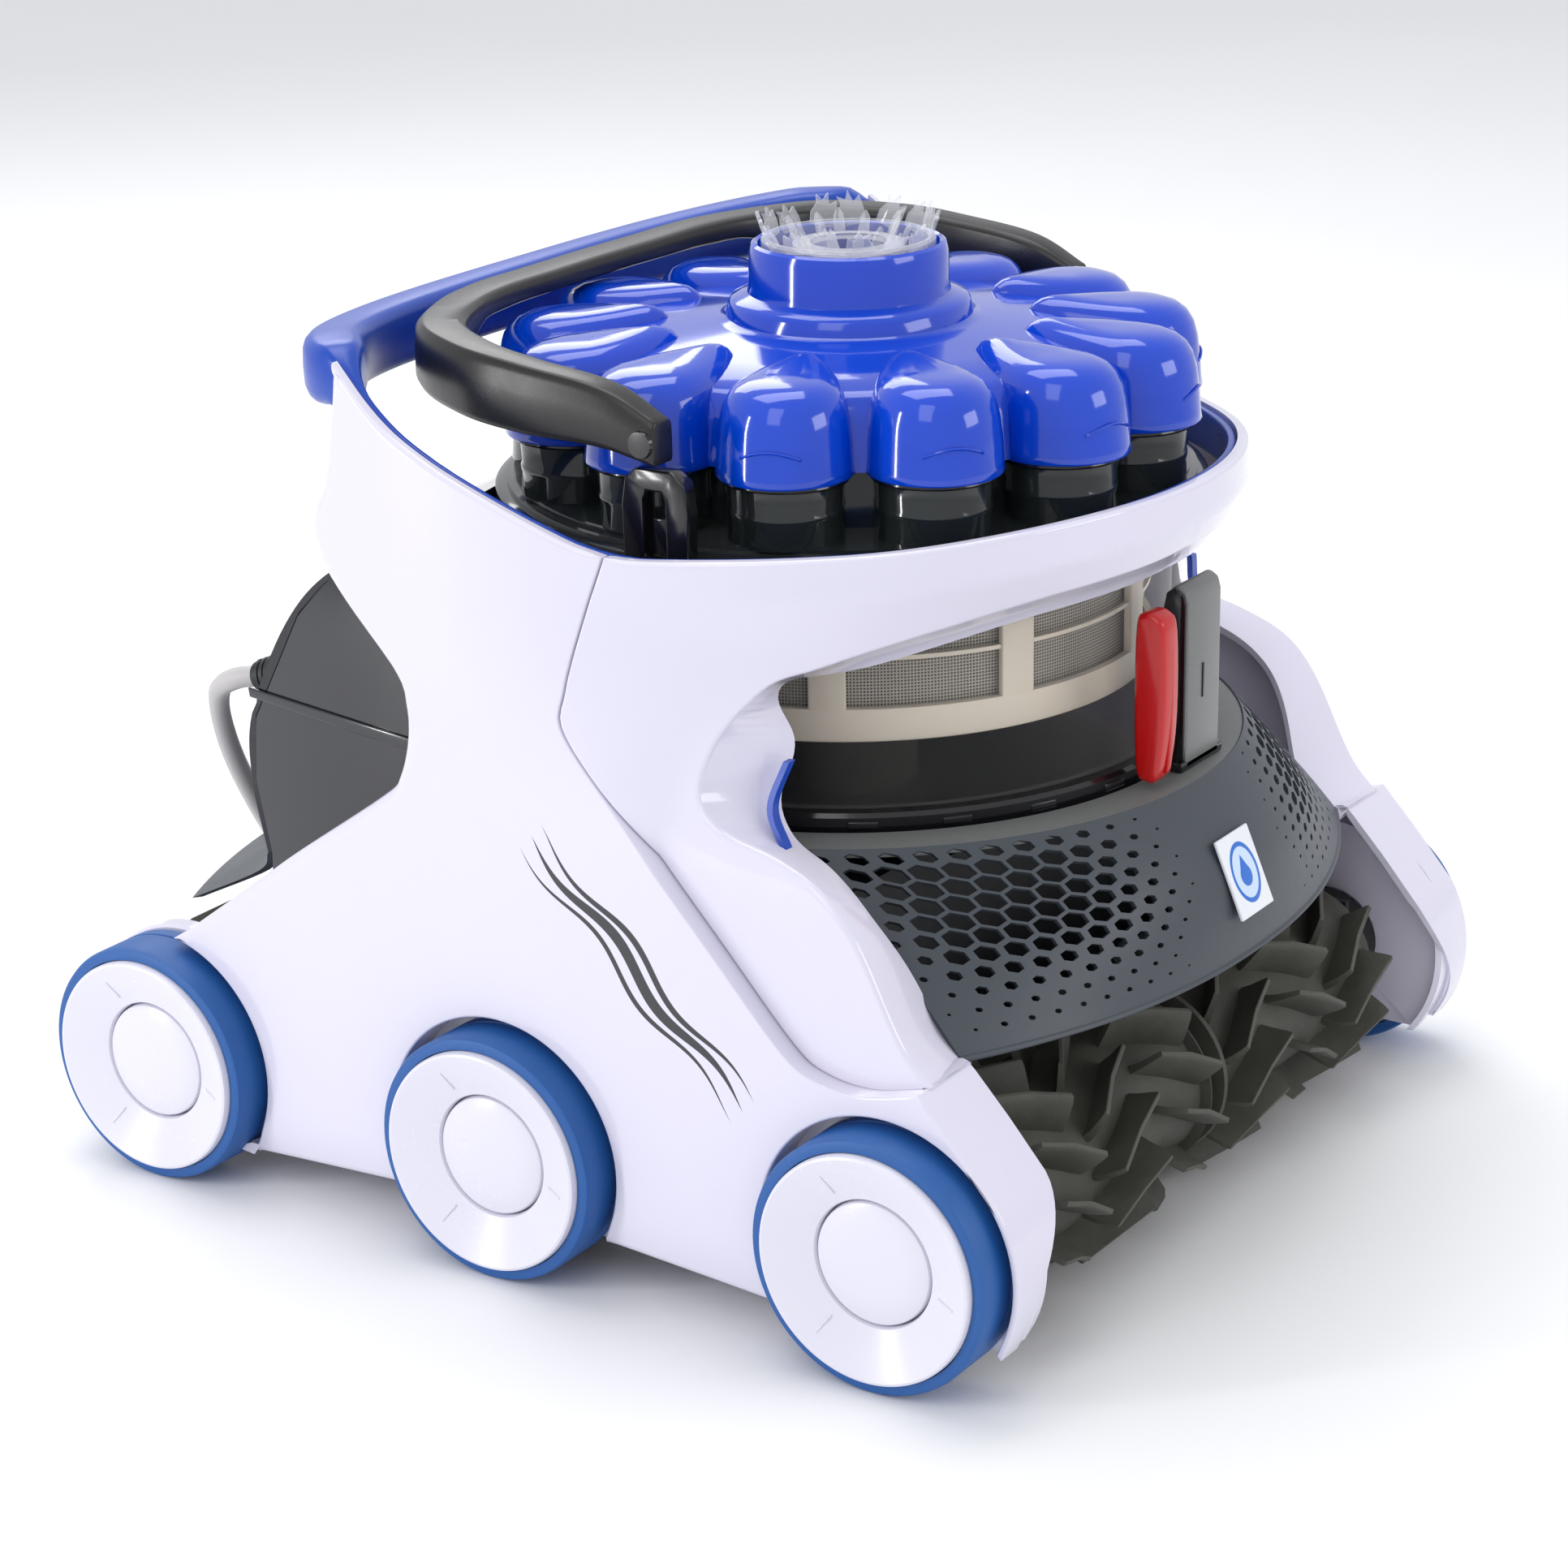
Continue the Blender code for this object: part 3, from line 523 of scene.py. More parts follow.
BRUSH = RubberFinish("brush_rubber", (0.062, 0.062, 0.05), 0.62, 0.1, 0.12, relief=0.00012)
DARK_RUBBER = RubberFinish("dark_rubber", (0.02, 0.02, 0.02), 0.7, relief=0.00005, dust=(0.05, 0.05, 0.05))
CLEAR = Finish("clear_wall", (0.90, 0.92, 0.95), 0.05, 0.03, 0.01, ior=1.45, alpha=0.012, edge_alpha=0.28,
               relief=0.000004)
SMOKE = Finish("smoked_wall", (0.022, 0.028, 0.028), 0.08, 0.05, 0.1, coat=0.4, alpha=0.86, edge_alpha=0.14,
               relief=0.000004)
ICE = Finish("clear_crown", (0.93, 0.94, 0.97), 0.06, 0.04, 0.01, ior=1.8, alpha=0.20, edge_alpha=0.62,
             relief=0.000004)
CREAM = Finish("cream_moulding", (0.68, 0.61, 0.50), 0.42, 0.12, 0.05, relief=0.00003)
SCREEN = MeshFinish("screen_weave", (0.42, 0.39, 0.33), 0.6)
RED = Finish("red_lever_gloss", (0.52, 0.004, 0.004), 0.25, 0.1, 0.08, coat=0.2, relief=0.00001)
HOOK_GREY = Finish("hook_grey_satin", (0.17, 0.175, 0.17), 0.3, 0.12, 0.08, relief=0.00003)
# Nearly black on purpose: painted shade, so the chassis and the other inner parts read dark through the gaps
# between the outer mouldings; the strain relief and roller cores share it.
SHADE_DARK_GREY = Finish("inner_satin_grey", (0.014, 0.015, 0.018), 0.5, 0.15, 0.12, relief=0.00005)
STEEL = Finish("screw_steel", (0.55, 0.55, 0.56), 0.3, 0.15, 0.05, metallic=1.0, relief=0.00001)
CABLE = CableFinish("cable_jacket", (0.56, 0.54, 0.545), 0.45, relief=0.00003)
BADGE = BadgeFinish("badge_print", (0.84, 0.86, 0.9), 0.3)
FLOOR = FloorFinish("pale_floor", (0.90, 0.90, 0.905), 0.55, 0.1)

# --- shape rules

CAN_Y = -0.035
LOOP_HALF_W, LOOP_MID_Y, LOOP_FRONT, LOOP_REAR = 164.0, 26.0, 196.0, 86.0
SIDE_X, INNER_X, RIM_WALL = 165.0, 134.0, 3.6
WELL_R = 46.5
WHEEL_Z = 43.0
RIM = ((-170, 257), (-120, 252), (-41, 250), (-19, 259), (24, 277), (43, 288), (56, 302), (64, 310))
BAR_LOW = ((-170, 226), (-150, 222), (-120, 214), (-90, 204), (-80, 198), (-42, 198))


def along(table: Sequence[Pair], at: float) -> float:
    """Value of a table of (place, value) pairs at a place, level past its ends."""
    return float(np.interp(at, [a for a, _ in table], [b for _, b in table]))


def ease(share: float) -> float:
    """Smooth step of a share clamped to 0 and 1."""
    share = min(max(share, 0.0), 1.0)
    return share * share * (3 - 2 * share)


SOFT_RIM = [(y, sum(along(RIM, y + d) for d in range(-12, 13, 3)) / 9) for y in range(-172, 70, 2)]


def rim_height(y: float) -> float:
    """Top of the rim at a depth, in millimetres, with its corners eased."""
    return along(SOFT_RIM, y)


def loop_half_width(y: float) -> float:
    """Half width of the rim at a depth, in millimetres.

    Args:
        y: the depth.

    Returns:
        The half width.
    """
    if y >= LOOP_MID_Y:
        share = min((y - LOOP_MID_Y) / LOOP_REAR, 1)
        return LOOP_HALF_W * (1 - share ** 3) ** (1 / 3)
    return LOOP_HALF_W * math.sqrt(max(1 - ((LOOP_MID_Y - y) / LOOP_FRONT) ** 2, 0))


def lean(y: float, z: float) -> float:
    """Share of the way from the upright side to the rim, by height."""
    return ease((z - 150) / (rim_height(y) - 150))


def side_x(y: float, z: float) -> float:
    """Half width of the body in millimetres: upright below, drawn in above."""
    half = loop_half_width(max(y, -160))
    return SIDE_X - (SIDE_X - half) * lean(y, z)


def catmull(points: Sequence[Point], steps: int, closed: bool = False) -> list[Vector]:
    """Smooth curve through points.

    Args:
        points: what the curve passes through.
        steps: points on each span.
        closed: whether the last point leads back to the first.

    Returns:
        Points of the curve.
    """
    pts = [Vector(p) for p in points]
    if closed:
        pts = [pts[-1]] + pts + pts[:2]
    else:
        pts = [2 * pts[0] - pts[1]] + pts + [2 * pts[-1] - pts[-2]]
    out = []
    for a, b, c, d in zip(pts, pts[1:], pts[2:], pts[3:]):
        for k in range(steps):
            t = k / steps
            out.append(0.5 * (2 * b + (c - a) * t + (2 * a - 5 * b + 4 * c - d) * t * t
                              + (3 * b - a - 3 * c + d) * t ** 3))
    return out if closed else out + [pts[-2]]


def resample(points: Sequence[Point], step: float) -> list[Vector]:
    """Points at even steps along an open polyline, ends kept.

    Args:
        points: the polyline.
        step: wished distance.

    Returns:
        The new points.
    """
    pts = [Vector(p) for p in points]
    lengths = np.cumsum([0.0] + [(b - a).length for a, b in zip(pts, pts[1:])])
    count = max(int(round(lengths[-1] / step)), 1)
    out = []
    for want in np.linspace(0, lengths[-1], count + 1):
        i = min(int(np.searchsorted(lengths, want, side="right")) - 1, len(pts) - 2)
        out.append(pts[i].lerp(pts[i + 1], float((want - lengths[i]) / (lengths[i + 1] - lengths[i]))))
    return out


def arc(centre: Pair, radius: float, start: float, end: float, step: float = 3.0) -> list[Vector]:
    """Points on a circle from one angle to another, in degrees.

    Args:
        centre: middle of the circle.
        radius: its radius.
        start: first angle.
        end: last angle.
        step: wished distance of the points.

    Returns:
        The points.
    """
    count = max(int(abs(math.radians(end - start)) * radius / step), 2)
    turns = np.radians(np.linspace(start, end, count + 1))
    return [Vector((centre[0] + radius * math.cos(a), centre[1] + radius * math.sin(a))) for a in turns]


# --- mesh shop

class Shop:
    """Makes meshes and hands finished pieces over to the frame."""

    @staticmethod
    def stand(name: str, data: bpy.types.ID) -> Piece:
        """Put data in the scene as an object.

        Args:
            name: the object's name.
            data: its mesh, curve, lamp or camera.

        Returns:
            The object, at the origin.
        """
        obj = bpy.data.objects.new(name, data)
        bpy.context.scene.collection.objects.link(obj)
        return obj

    @staticmethod
    def mesh(name: str, verts: Iterable[Point], faces: Iterable[Sequence[int]],
             finish: Finish, angle: float = 40) -> Piece:
        """Make an object from lists, with its faces pointing out.

        Args:
            name: the piece's name.
            verts: its points, in metres.
            faces: rows of point numbers.
            finish: its finish.
            angle: sharpest angle shaded smooth.

        Returns:
            The object.
        """
        mesh = bpy.data.meshes.new(name)
        mesh.from_pydata([tuple(v) for v in verts], [], [tuple(f) for f in faces])
        work = bmesh.new()
        work.from_mesh(mesh)
        bmesh.ops.remove_doubles(work, verts=work.verts, dist=SAME_SPOT)
        bmesh.ops.recalc_face_normals(work, faces=work.faces)
        work.to_mesh(mesh)
        work.free()
        mesh.materials.append(finish.material())
        mesh.shade_smooth()
        mesh.set_sharp_from_angle(angle=math.radians(angle))
        obj = Shop.stand(name, mesh)
        return obj

    @staticmethod
    def loft(name: str, rings: Sequence[Sequence[Point]], finish: Finish, closed: bool = False,
             caps: bool = True, angle: float = 40) -> Piece:
        """Skin rings that all have the same number of points.

        Args:
            name: the piece's name.
            rings: rings of points in millimetres.
            finish: its finish.
            closed: join the last ring to the first.
            caps: close both ends.
            angle: sharpest angle shaded smooth.

        Returns:
            The skinned object.
        """
        count, rows = len(rings[0]), len(rings)
        verts = [Vector(p) * MM for ring in rings for p in ring]
        faces = []
        for row in range(rows if closed else rows - 1):
            here, there = row * count, (row + 1) % rows * count
            faces += [(here + i, here + (i + 1) % count, there + (i + 1) % count, there + i)
                      for i in range(count)]
        if not closed and caps:
            faces += [tuple(range(count)), tuple((rows - 1) * count + i for i in range(count))]
        return Shop.mesh(name, verts, faces, finish, angle)

    @staticmethod
    def turned(name: str, profile: Sequence[Pair], finish: Finish, centre: Point = (0, 0),
               across: bool = False, segments: int = 96) -> Piece:
        """Turn a (radius, height) profile in millimetres about an axis.

        Args:
            name: the piece's name.
            profile: closed ring profile, or one that starts and ends on the axis.
            finish: its material.
            centre: where the axis stands, (x, y), or (y, z) for a crosswise axis.
            across: turn about X instead of Z.
            segments: steps round the axis.

        Returns:
            The turned object.
        """
        rings = []
        for radius, height in profile:
            ring = []
            for k in range(segments):
                a = math.tau * k / segments
                u, v = centre[0] + radius * math.cos(a), centre[1] + radius * math.sin(a)
                ring.append((height, u, v) if across else (u, v, height))
            rings.append(ring)
        solid = profile[0][0] == 0 and profile[-1][0] == 0
        return Shop.loft(name, rings, finish, closed=not solid, caps=False, angle=35)

    @staticmethod
    def prism(name: str, outline: Sequence[Pair], x0: float, x1: float, finish: Finish,
              bevel: float = 0.8, plane: str = "YZ") -> Piece:
        """Extrude an outline in millimetres and round its edges.

        Args:
            name: the piece's name.
            outline: its corners.
            x0: where the extrusion starts.
            x1: where it ends.
            finish: its finish.
            bevel: rounding of its edges.
            plane: plane of the outline.

        Returns:
            The extruded object.
        """
        def spot(p: Pair, h: float) -> Point:
            """Corner of the outline at a distance along the extrusion."""
            return {"YZ": (h, p[0], p[1]), "XZ": (p[0], h, p[1]), "XY": (p[0], p[1], h)}[plane]
        obj = Shop.loft(name, [[spot(p, h) for p in outline] for h in (x0, x1)], finish)
        return Shop.rounded(obj, bevel)

    @staticmethod
    def rounded(obj: Piece, width: float, segments: int = 3) -> Piece:
        """Round an object's edges.

        Args:
            obj: the object.
            width: width of the rounding.
            segments: steps of the rounding.

        Returns:
            The same object.
        """
        bevel = obj.modifiers.new("rounded", "BEVEL")
        bevel.width = width * MM
        bevel.segments = segments
        bevel.limit_method = "ANGLE"
        bevel.angle_limit = math.radians(38)
        return Shop.settle(obj)

    @staticmethod
    def settle(obj: Piece, angle: float = 40) -> Piece:
        """Bake an object's modifiers into a plain mesh.

        Args:
            obj: the object.
            angle: sharpest angle shaded smooth.

        Returns:
            The same object.
        """
        bpy.context.view_layer.update()
        graph = bpy.context.evaluated_depsgraph_get()
        mesh = bpy.data.meshes.new_from_object(obj.evaluated_get(graph))
        obj.modifiers.clear()
        obj.data = mesh
        mesh.shade_smooth()
        mesh.set_sharp_from_angle(angle=math.radians(angle))
        return obj

    @staticmethod
    def join(name: str, parts: Sequence[Piece]) -> Piece:
        """Put several pieces of one body into one mesh; materials are kept.

        Args:
            name: name of the result.
            parts: the pieces, which are used up.

        Returns:
            The joined object.
        """
        work = bmesh.new()
        finishes: list[bpy.types.Material] = []
        for part in parts:
            start = len(work.faces)
            work.from_mesh(part.data)
            work.faces.ensure_lookup_table()
            own = list(part.data.materials)
            for material in own:
                if material not in finishes:
                    finishes.append(material)
            for face in work.faces[start:]:
                face.material_index = finishes.index(own[face.material_index])
            bpy.data.objects.remove(part, do_unlink=True)
        mesh = bpy.data.meshes.new(name)
        work.to_mesh(mesh)
        work.free()
        for material in finishes:
            mesh.materials.append(material)
        obj = Shop.stand(name, mesh)
        return obj

    @staticmethod
    def publish(obj: Piece, body: Body | str, slot: str, *nodes: str) -> Piece:
        """Ride a finished piece on its body and stand it in for CAD nodes.

        Args:
            obj: the piece.
            body: the body that it moves with.
            slot: not used.
            nodes: the nodes that it replaces.

        Returns:
            The same object.
        """
        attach(obj, body.value if isinstance(body, Body) else body)
        if nodes:
            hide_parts(*nodes)
        LOG.info("%s stands for %s", obj.name, ", ".join(nodes) or "a detail")
        return obj


class Rule:
    """A Geometry Nodes tree with named inputs, which ends in real geometry with its material."""

    def __init__(self, name: str, **inputs: str) -> None:
        """Start the tree.

        Args:
            name: the tree's name.
            inputs: the last word of the socket type of each input.
        """
        self.tree = bpy.data.node_groups.new(name, "GeometryNodeTree")
        for label, kind in {**inputs, "Finish": "Material"}.items():
            self.tree.interface.new_socket(label, in_out="INPUT", socket_type="NodeSocket" + kind)
        self.tree.interface.new_socket("Result", in_out="OUTPUT", socket_type="NodeSocketGeometry")
        self.asks, self.end = self.add("NodeGroupInput").outputs, self.add("NodeGroupOutput")

    def add(self, kind: str, **settings: object) -> bpy.types.Node:
        """Add a node.

        Args:
            kind: the node's type name.
            settings: its attributes.

        Returns:
            The new node.
        """
        node = self.tree.nodes.new(kind)
        for key, value in settings.items():
            setattr(node, key, value)
        return node

    def attribute(self, name: str, kind: str) -> Socket:
        """Read a named attribute of the geometry.

        Args:
            name: the attribute's name.
            kind: its data type.

        Returns:
            The socket that carries it.
        """
        node = self.add("GeometryNodeInputNamedAttribute", data_type=kind)
        node.inputs["Name"].default_value = name
        return node.outputs["Attribute"]

    def close(self, result: Socket, *links: tuple) -> "Rule":
        """Link the nodes and end the tree.

        Args:
            result: the geometry that becomes real and gets its material.
            links: pairs of an output and an input.

        Returns:
            The rule itself.
        """
        real, paint = self.add("GeometryNodeRealizeInstances"), self.add("GeometryNodeSetMaterial")
        ends = ((result, real.inputs["Geometry"]), (real.outputs["Geometry"], paint.inputs["Geometry"]),
                (self.asks["Finish"], paint.inputs["Material"]), (paint.outputs["Geometry"],
                                                                  self.end.inputs["Result"]))
        for out, into in links + ends:
            self.tree.links.new(out, into)
        return self

    def run(self, obj: Piece, finish: Finish, angle: float, **values: object) -> None:
        """Run the tree on an object and keep the result as its plain mesh.

        Args:
            obj: the object whose mesh is the first input.
            finish: the result's finish.
            angle: sharpest angle shaded smooth.
            values: the other inputs.
        """
        rule = obj.modifiers.new("rule", "NODES")
        rule.node_group = self.tree
        sockets = {item.name: item.identifier for item in self.tree.interface.items_tree}
        for label, value in {**values, "Finish": finish.material()}.items():
            rule[sockets[label]] = value
        Shop.settle(obj, angle)


class Repeater:
    """Sets copies of one unit on points, each with a turn and a size."""

    def __init__(self, name: str, unit: Piece, finish: Finish) -> None:
        """Start with no points.

        Args:
            name: name of the result.
            unit: the piece that repeats, a mesh about its own origin.
            finish: its finish.
        """
        self.name, self.unit, self.finish = name, unit, finish
        self.spots: list[Vector] = []
        self.turns: list[Vector] = []
        self.sizes: list[Vector] = []

    def add(self, matrix: Matrix, size: Point = (1, 1, 1)) -> None:
        """Add a copy.

        Args:
            matrix: its place and turn.
            size: its stretch along its own axes.
        """
        self.spots.append(matrix.to_translation())
        self.turns.append(Vector(matrix.to_euler()))
        self.sizes.append(Vector(size))

    def rule(self) -> Rule:
        """Rule that sets the unit on the points, by their turn and size.

        Returns:
            The rule, with Points, Unit and Size as inputs.
        """
        rule = Rule(self.name + "_rule", Points="Geometry", Unit="Object", Size="Float")
        info, place = rule.add("GeometryNodeObjectInfo"), rule.add("GeometryNodeInstanceOnPoints")
        grown = rule.add("ShaderNodeVectorMath", operation="SCALE")
        return rule.close(place.outputs["Instances"],
                          (rule.asks["Points"], place.inputs["Points"]),
                          (rule.asks["Unit"], info.inputs["Object"]),
                          (info.outputs["Geometry"], place.inputs["Instance"]),
                          (rule.attribute("turn", "FLOAT_VECTOR"), place.inputs["Rotation"]),
                          (rule.attribute("size", "FLOAT_VECTOR"), grown.inputs[0]),
                          (rule.asks["Size"], grown.inputs["Scale"]),
                          (grown.outputs[0], place.inputs["Scale"]))

    def build(self, size: float = 1.0, angle: float = 40) -> Piece:
        """Run the rule on the points.

        Args:
            size: scale of every copy.
            angle: sharpest angle shaded smooth.

        Returns:
            The copies as one plain mesh object.
        """
        mesh = bpy.data.meshes.new(self.name)
        mesh.from_pydata([tuple(p) for p in self.spots], [], [])
        for label, values in (("turn", self.turns), ("size", self.sizes)):
            layer = mesh.attributes.new(label, "FLOAT_VECTOR", "POINT")
            layer.data.foreach_set("vector", [c for v in values for c in v])
        holder = Shop.stand(self.name, mesh)
        self.rule().run(holder, self.finish, angle, Unit=self.unit, Size=size)
        for layer in [a for a in holder.data.attributes if a.name in ("turn", "size")]:
            holder.data.attributes.remove(layer)
        bpy.data.objects.remove(self.unit, do_unlink=True)
        return holder


@dataclass
class Skin:
    """A shell grown from one closed outline in a flattened plane.

    The outline and all lengths are in millimetres. surface(u, v, depth) gives
    the place in space; edge(i, p) gives how far the wall at an outline point
    reaches back, as a vector; radius(i, p) gives its rounding.
    """

    outline: list[Vector]
    surface: Callable[[float, float, float], Vector]
    edge: Callable[[int, Vector], Vector]
    radius: Callable[[int, Vector], float]
    wall: float = 3.5
    spacing: float = 6.0
    extra: list[Vector] = field(default_factory=list)
    rounding: tuple[Pair, ...] = ((1.25, 0.0), (1.0, 0.0), (0.62, 0.075), (0.3, 0.286), (0.08, 0.61),
                                  (0.0, 1.0))

    def normals(self) -> list[Vector]:
        """Inward normals of the outline, lengthened at its corners.

        Returns:
            One vector for each point.
        """
        pts = self.outline
        area = sum(a.x * b.y - b.x * a.y for a, b in zip(pts, pts[1:] + pts[:1]))
        sign = 1 if area > 0 else -1
        out = []
        for a, b, c in zip(pts[-1:] + pts[:-1], pts, pts[1:] + pts[:1]):
            first = Vector((a.y - b.y, b.x - a.x)).normalized() * sign
            second = Vector((b.y - c.y, c.x - b.x)).normalized() * sign
            mid = (first + second)
            mid = mid.normalized() if mid.length > 1e-6 else first
            out.append(mid / max(mid.dot(first), 0.6))
        return out

    def fill(self, ring: list[Vector]) -> tuple[list[Vector], list[tuple[int, ...]]]:
        """Fill a ring with even triangles; the ring's points come first.

        Args:
            ring: the closed ring.

        Returns:
            Points and faces.
        """
        loop = np.array([tuple(p) for p in ring])
        nxt = np.roll(loop, -1, axis=0)
        low, high = loop.min(0), loop.max(0)
        us = np.arange(low[0] + self.spacing / 2, high[0], self.spacing)
        vs = np.arange(low[1] + self.spacing / 2, high[1], self.spacing)
        inside = list(self.extra)
        for row, v in enumerate(vs):
            shift = self.spacing / 2 * (row % 2)
            for u in us + shift:
                cross = (loop[:, 1] > v) != (nxt[:, 1] > v)
                with np.errstate(divide="ignore", invalid="ignore"):
                    x = loop[:, 0] + (v - loop[:, 1]) * (nxt[:, 0] - loop[:, 0]) / (nxt[:, 1] - loop[:, 1])
                if np.count_nonzero(cross & (x > u)) % 2 == 0:
                    continue
                if np.min(np.hypot(loop[:, 0] - u, loop[:, 1] - v)) > self.spacing * 0.6:
                    inside.append(Vector((u, v)))
        count = len(ring)
        verts = list(ring) + inside
        edges = [(i, (i + 1) % count) for i in range(count)]
        out, _, faces, origin, _, _ = delaunay_2d_cdt(verts, edges, [], 1, 1e-5)
        back = {}
        for new, old in enumerate(origin):
            for index in old:
                back[index] = new
        order = [back[i] for i in range(count)]
        rest = [i for i in range(len(out)) if i not in set(order)]
        rank = {old: new for new, old in enumerate(order + rest)}
        return [out[i] for i in order + rest], [tuple(rank[i] for i in f) for f in faces]

    def build(self, name: str, finish: Finish, mirror: int = 1) -> Piece:
        """Grow the shell.

        Args:
            name: the shell's name.
            finish: its finish.
            mirror: -1 for the side with negative X.

        Returns:
            The shell.
        """
        normals = self.normals()
        count = len(self.outline)
        radii = [self.radius(i, p) for i, p in enumerate(self.outline)]
        inner = [p + n * r * self.rounding[0][0] for p, n, r in zip(self.outline, normals, radii)]
        flat, faces = self.fill(inner)
        verts = [self.surface(p.x, p.y, 0.0) for p in flat]
        rings = [list(range(count))]

        def ring(places: list[Vector]) -> None:
            """Add the next ring of points."""
            rings.append(list(range(len(verts), len(verts) + count)))
            verts.extend(places)
        for share, sink in self.rounding[1:]:
            ring([self.surface(*(p + n * r * share), r * sink)
                  for p, n, r in zip(self.outline, normals, radii)])
        walls = [self.edge(i, p) for i, p in enumerate(self.outline)]
        ring([self.surface(p.x, p.y, 0.0) + w for p, w in zip(self.outline, walls)])
        thick = [self.surface(*(p + n * min(self.wall, r * 1.2 + 1)), 0.0)
                 for p, n, r in zip(self.outline, normals, radii)]
        ring([t + w for t, w in zip(thick, walls)])
        top = [self.surface(p.x, p.y, self.wall) for p in flat]
        base = len(verts)
        verts.extend(top)
        rings.append(list(range(base, base + count)))
        skins = list(faces) + [tuple(base + i for i in f[::-1]) for f in faces]
        for a, b in zip(rings, rings[1:]):
            skins += [(a[i], a[(i + 1) % count], b[(i + 1) % count], b[i]) for i in range(count)]
        points = [Vector((mirror * v.x, v.y, v.z)) * MM for v in verts]
        return Shop.mesh(name, points, skins, finish, 55)


# --- studio

@dataclass
class Studio:
    """Floor, lights and camera round the machine."""

    eye: Point = (-1.0577, -0.7220, 0.5796)
    azimuth: float = -55.84
    elevation: float = 19.69
    roll: float = -1.15
    lens: float = 86.77
    floor_size: float = 16.0
    sky: tuple[float, ...] = (0.95, 0.96, 1.0, 1.0)
    sky_power: float = 0.78
    heart: Point = (0, 0, 0.16)
    boxes: tuple[tuple[str, Point, Pair, float], ...] = (
        ("key_box", (-1.3, -0.35, 1.5), (0.7, 1.2), 4), ("strip_left", (-1.5, 1.0, 0.55), (0.10, 1.2), 10),
        ("front_box", (0.35, -1.9, 0.9), (0.9, 0.6), 6), ("top_box", (0.3, 0.4, 2.1), (1.5, 1.0), 14),
        ("rear_box", (1.1, 1.3, 1.3), (1.0, 0.8), 7))

    def camera(self) -> None:
        """Stand the camera at its height and turn, and make it the scene's own."""
        a, e, r = (math.radians(v) for v in (self.azimuth, self.elevation, self.roll))
        back = Vector((math.sin(a) * math.cos(e), -math.cos(a) * math.cos(e), math.sin(e)))
        right = Vector((math.cos(a), math.sin(a), 0))
        up = back.cross(right)
        across = math.cos(r) * right + math.sin(r) * up
        rise = -math.sin(r) * right + math.cos(r) * up
        data = bpy.data.cameras.new("camera")
        data.lens, data.sensor_width, data.clip_end = self.lens, 36.0, 50.0
        camera = Shop.stand("camera", data)
        turn = Matrix((across, rise, back)).transposed().to_4x4()
        camera.matrix_world = Matrix.Translation(self.eye) @ turn
        bpy.context.scene.camera = camera

    def floor(self) -> None:
        """Lay a pale floor with a trace of unevenness in its sheen."""
        half = self.floor_size / 2
        floor = Shop.mesh("floor", [(-half, -half, 0), (half, -half, 0), (half, half, 0), (-half, half, 0)],
                          [(0, 1, 2, 3)], FLOOR)

    def light(self, name: str, place: Point, target: Point, size: Pair, power: float) -> None:
        """Hang one soft box and aim it.

        Args:
            name: its name.
            place: where it hangs.
            target: what it aims at.
            size: width and height.
            power: power in watts.
        """
        data = bpy.data.lights.new(name, "AREA")
        data.shape, data.size, data.size_y, data.energy = "RECTANGLE", size[0], size[1], power
        lamp = Shop.stand(name, data)
        aim = (Vector(place) - Vector(target)).to_track_quat("Z", "Y")
        lamp.matrix_world = Matrix.Translation(place) @ aim.to_matrix().to_4x4()

    def build(self) -> None:
        """Set up the whole studio."""
        self.camera()
        self.floor()
        world = bpy.data.worlds.new("studio")
        world.use_nodes = True
        sky = world.node_tree.nodes["Background"].inputs
        sky["Color"].default_value, sky["Strength"].default_value = self.sky, self.sky_power
        bpy.context.scene.world = world
        bpy.context.scene.view_settings.view_transform = "Standard"
        for name, place, size, power in self.boxes:
            self.light(name, place, self.heart, size, power)


# --- cord

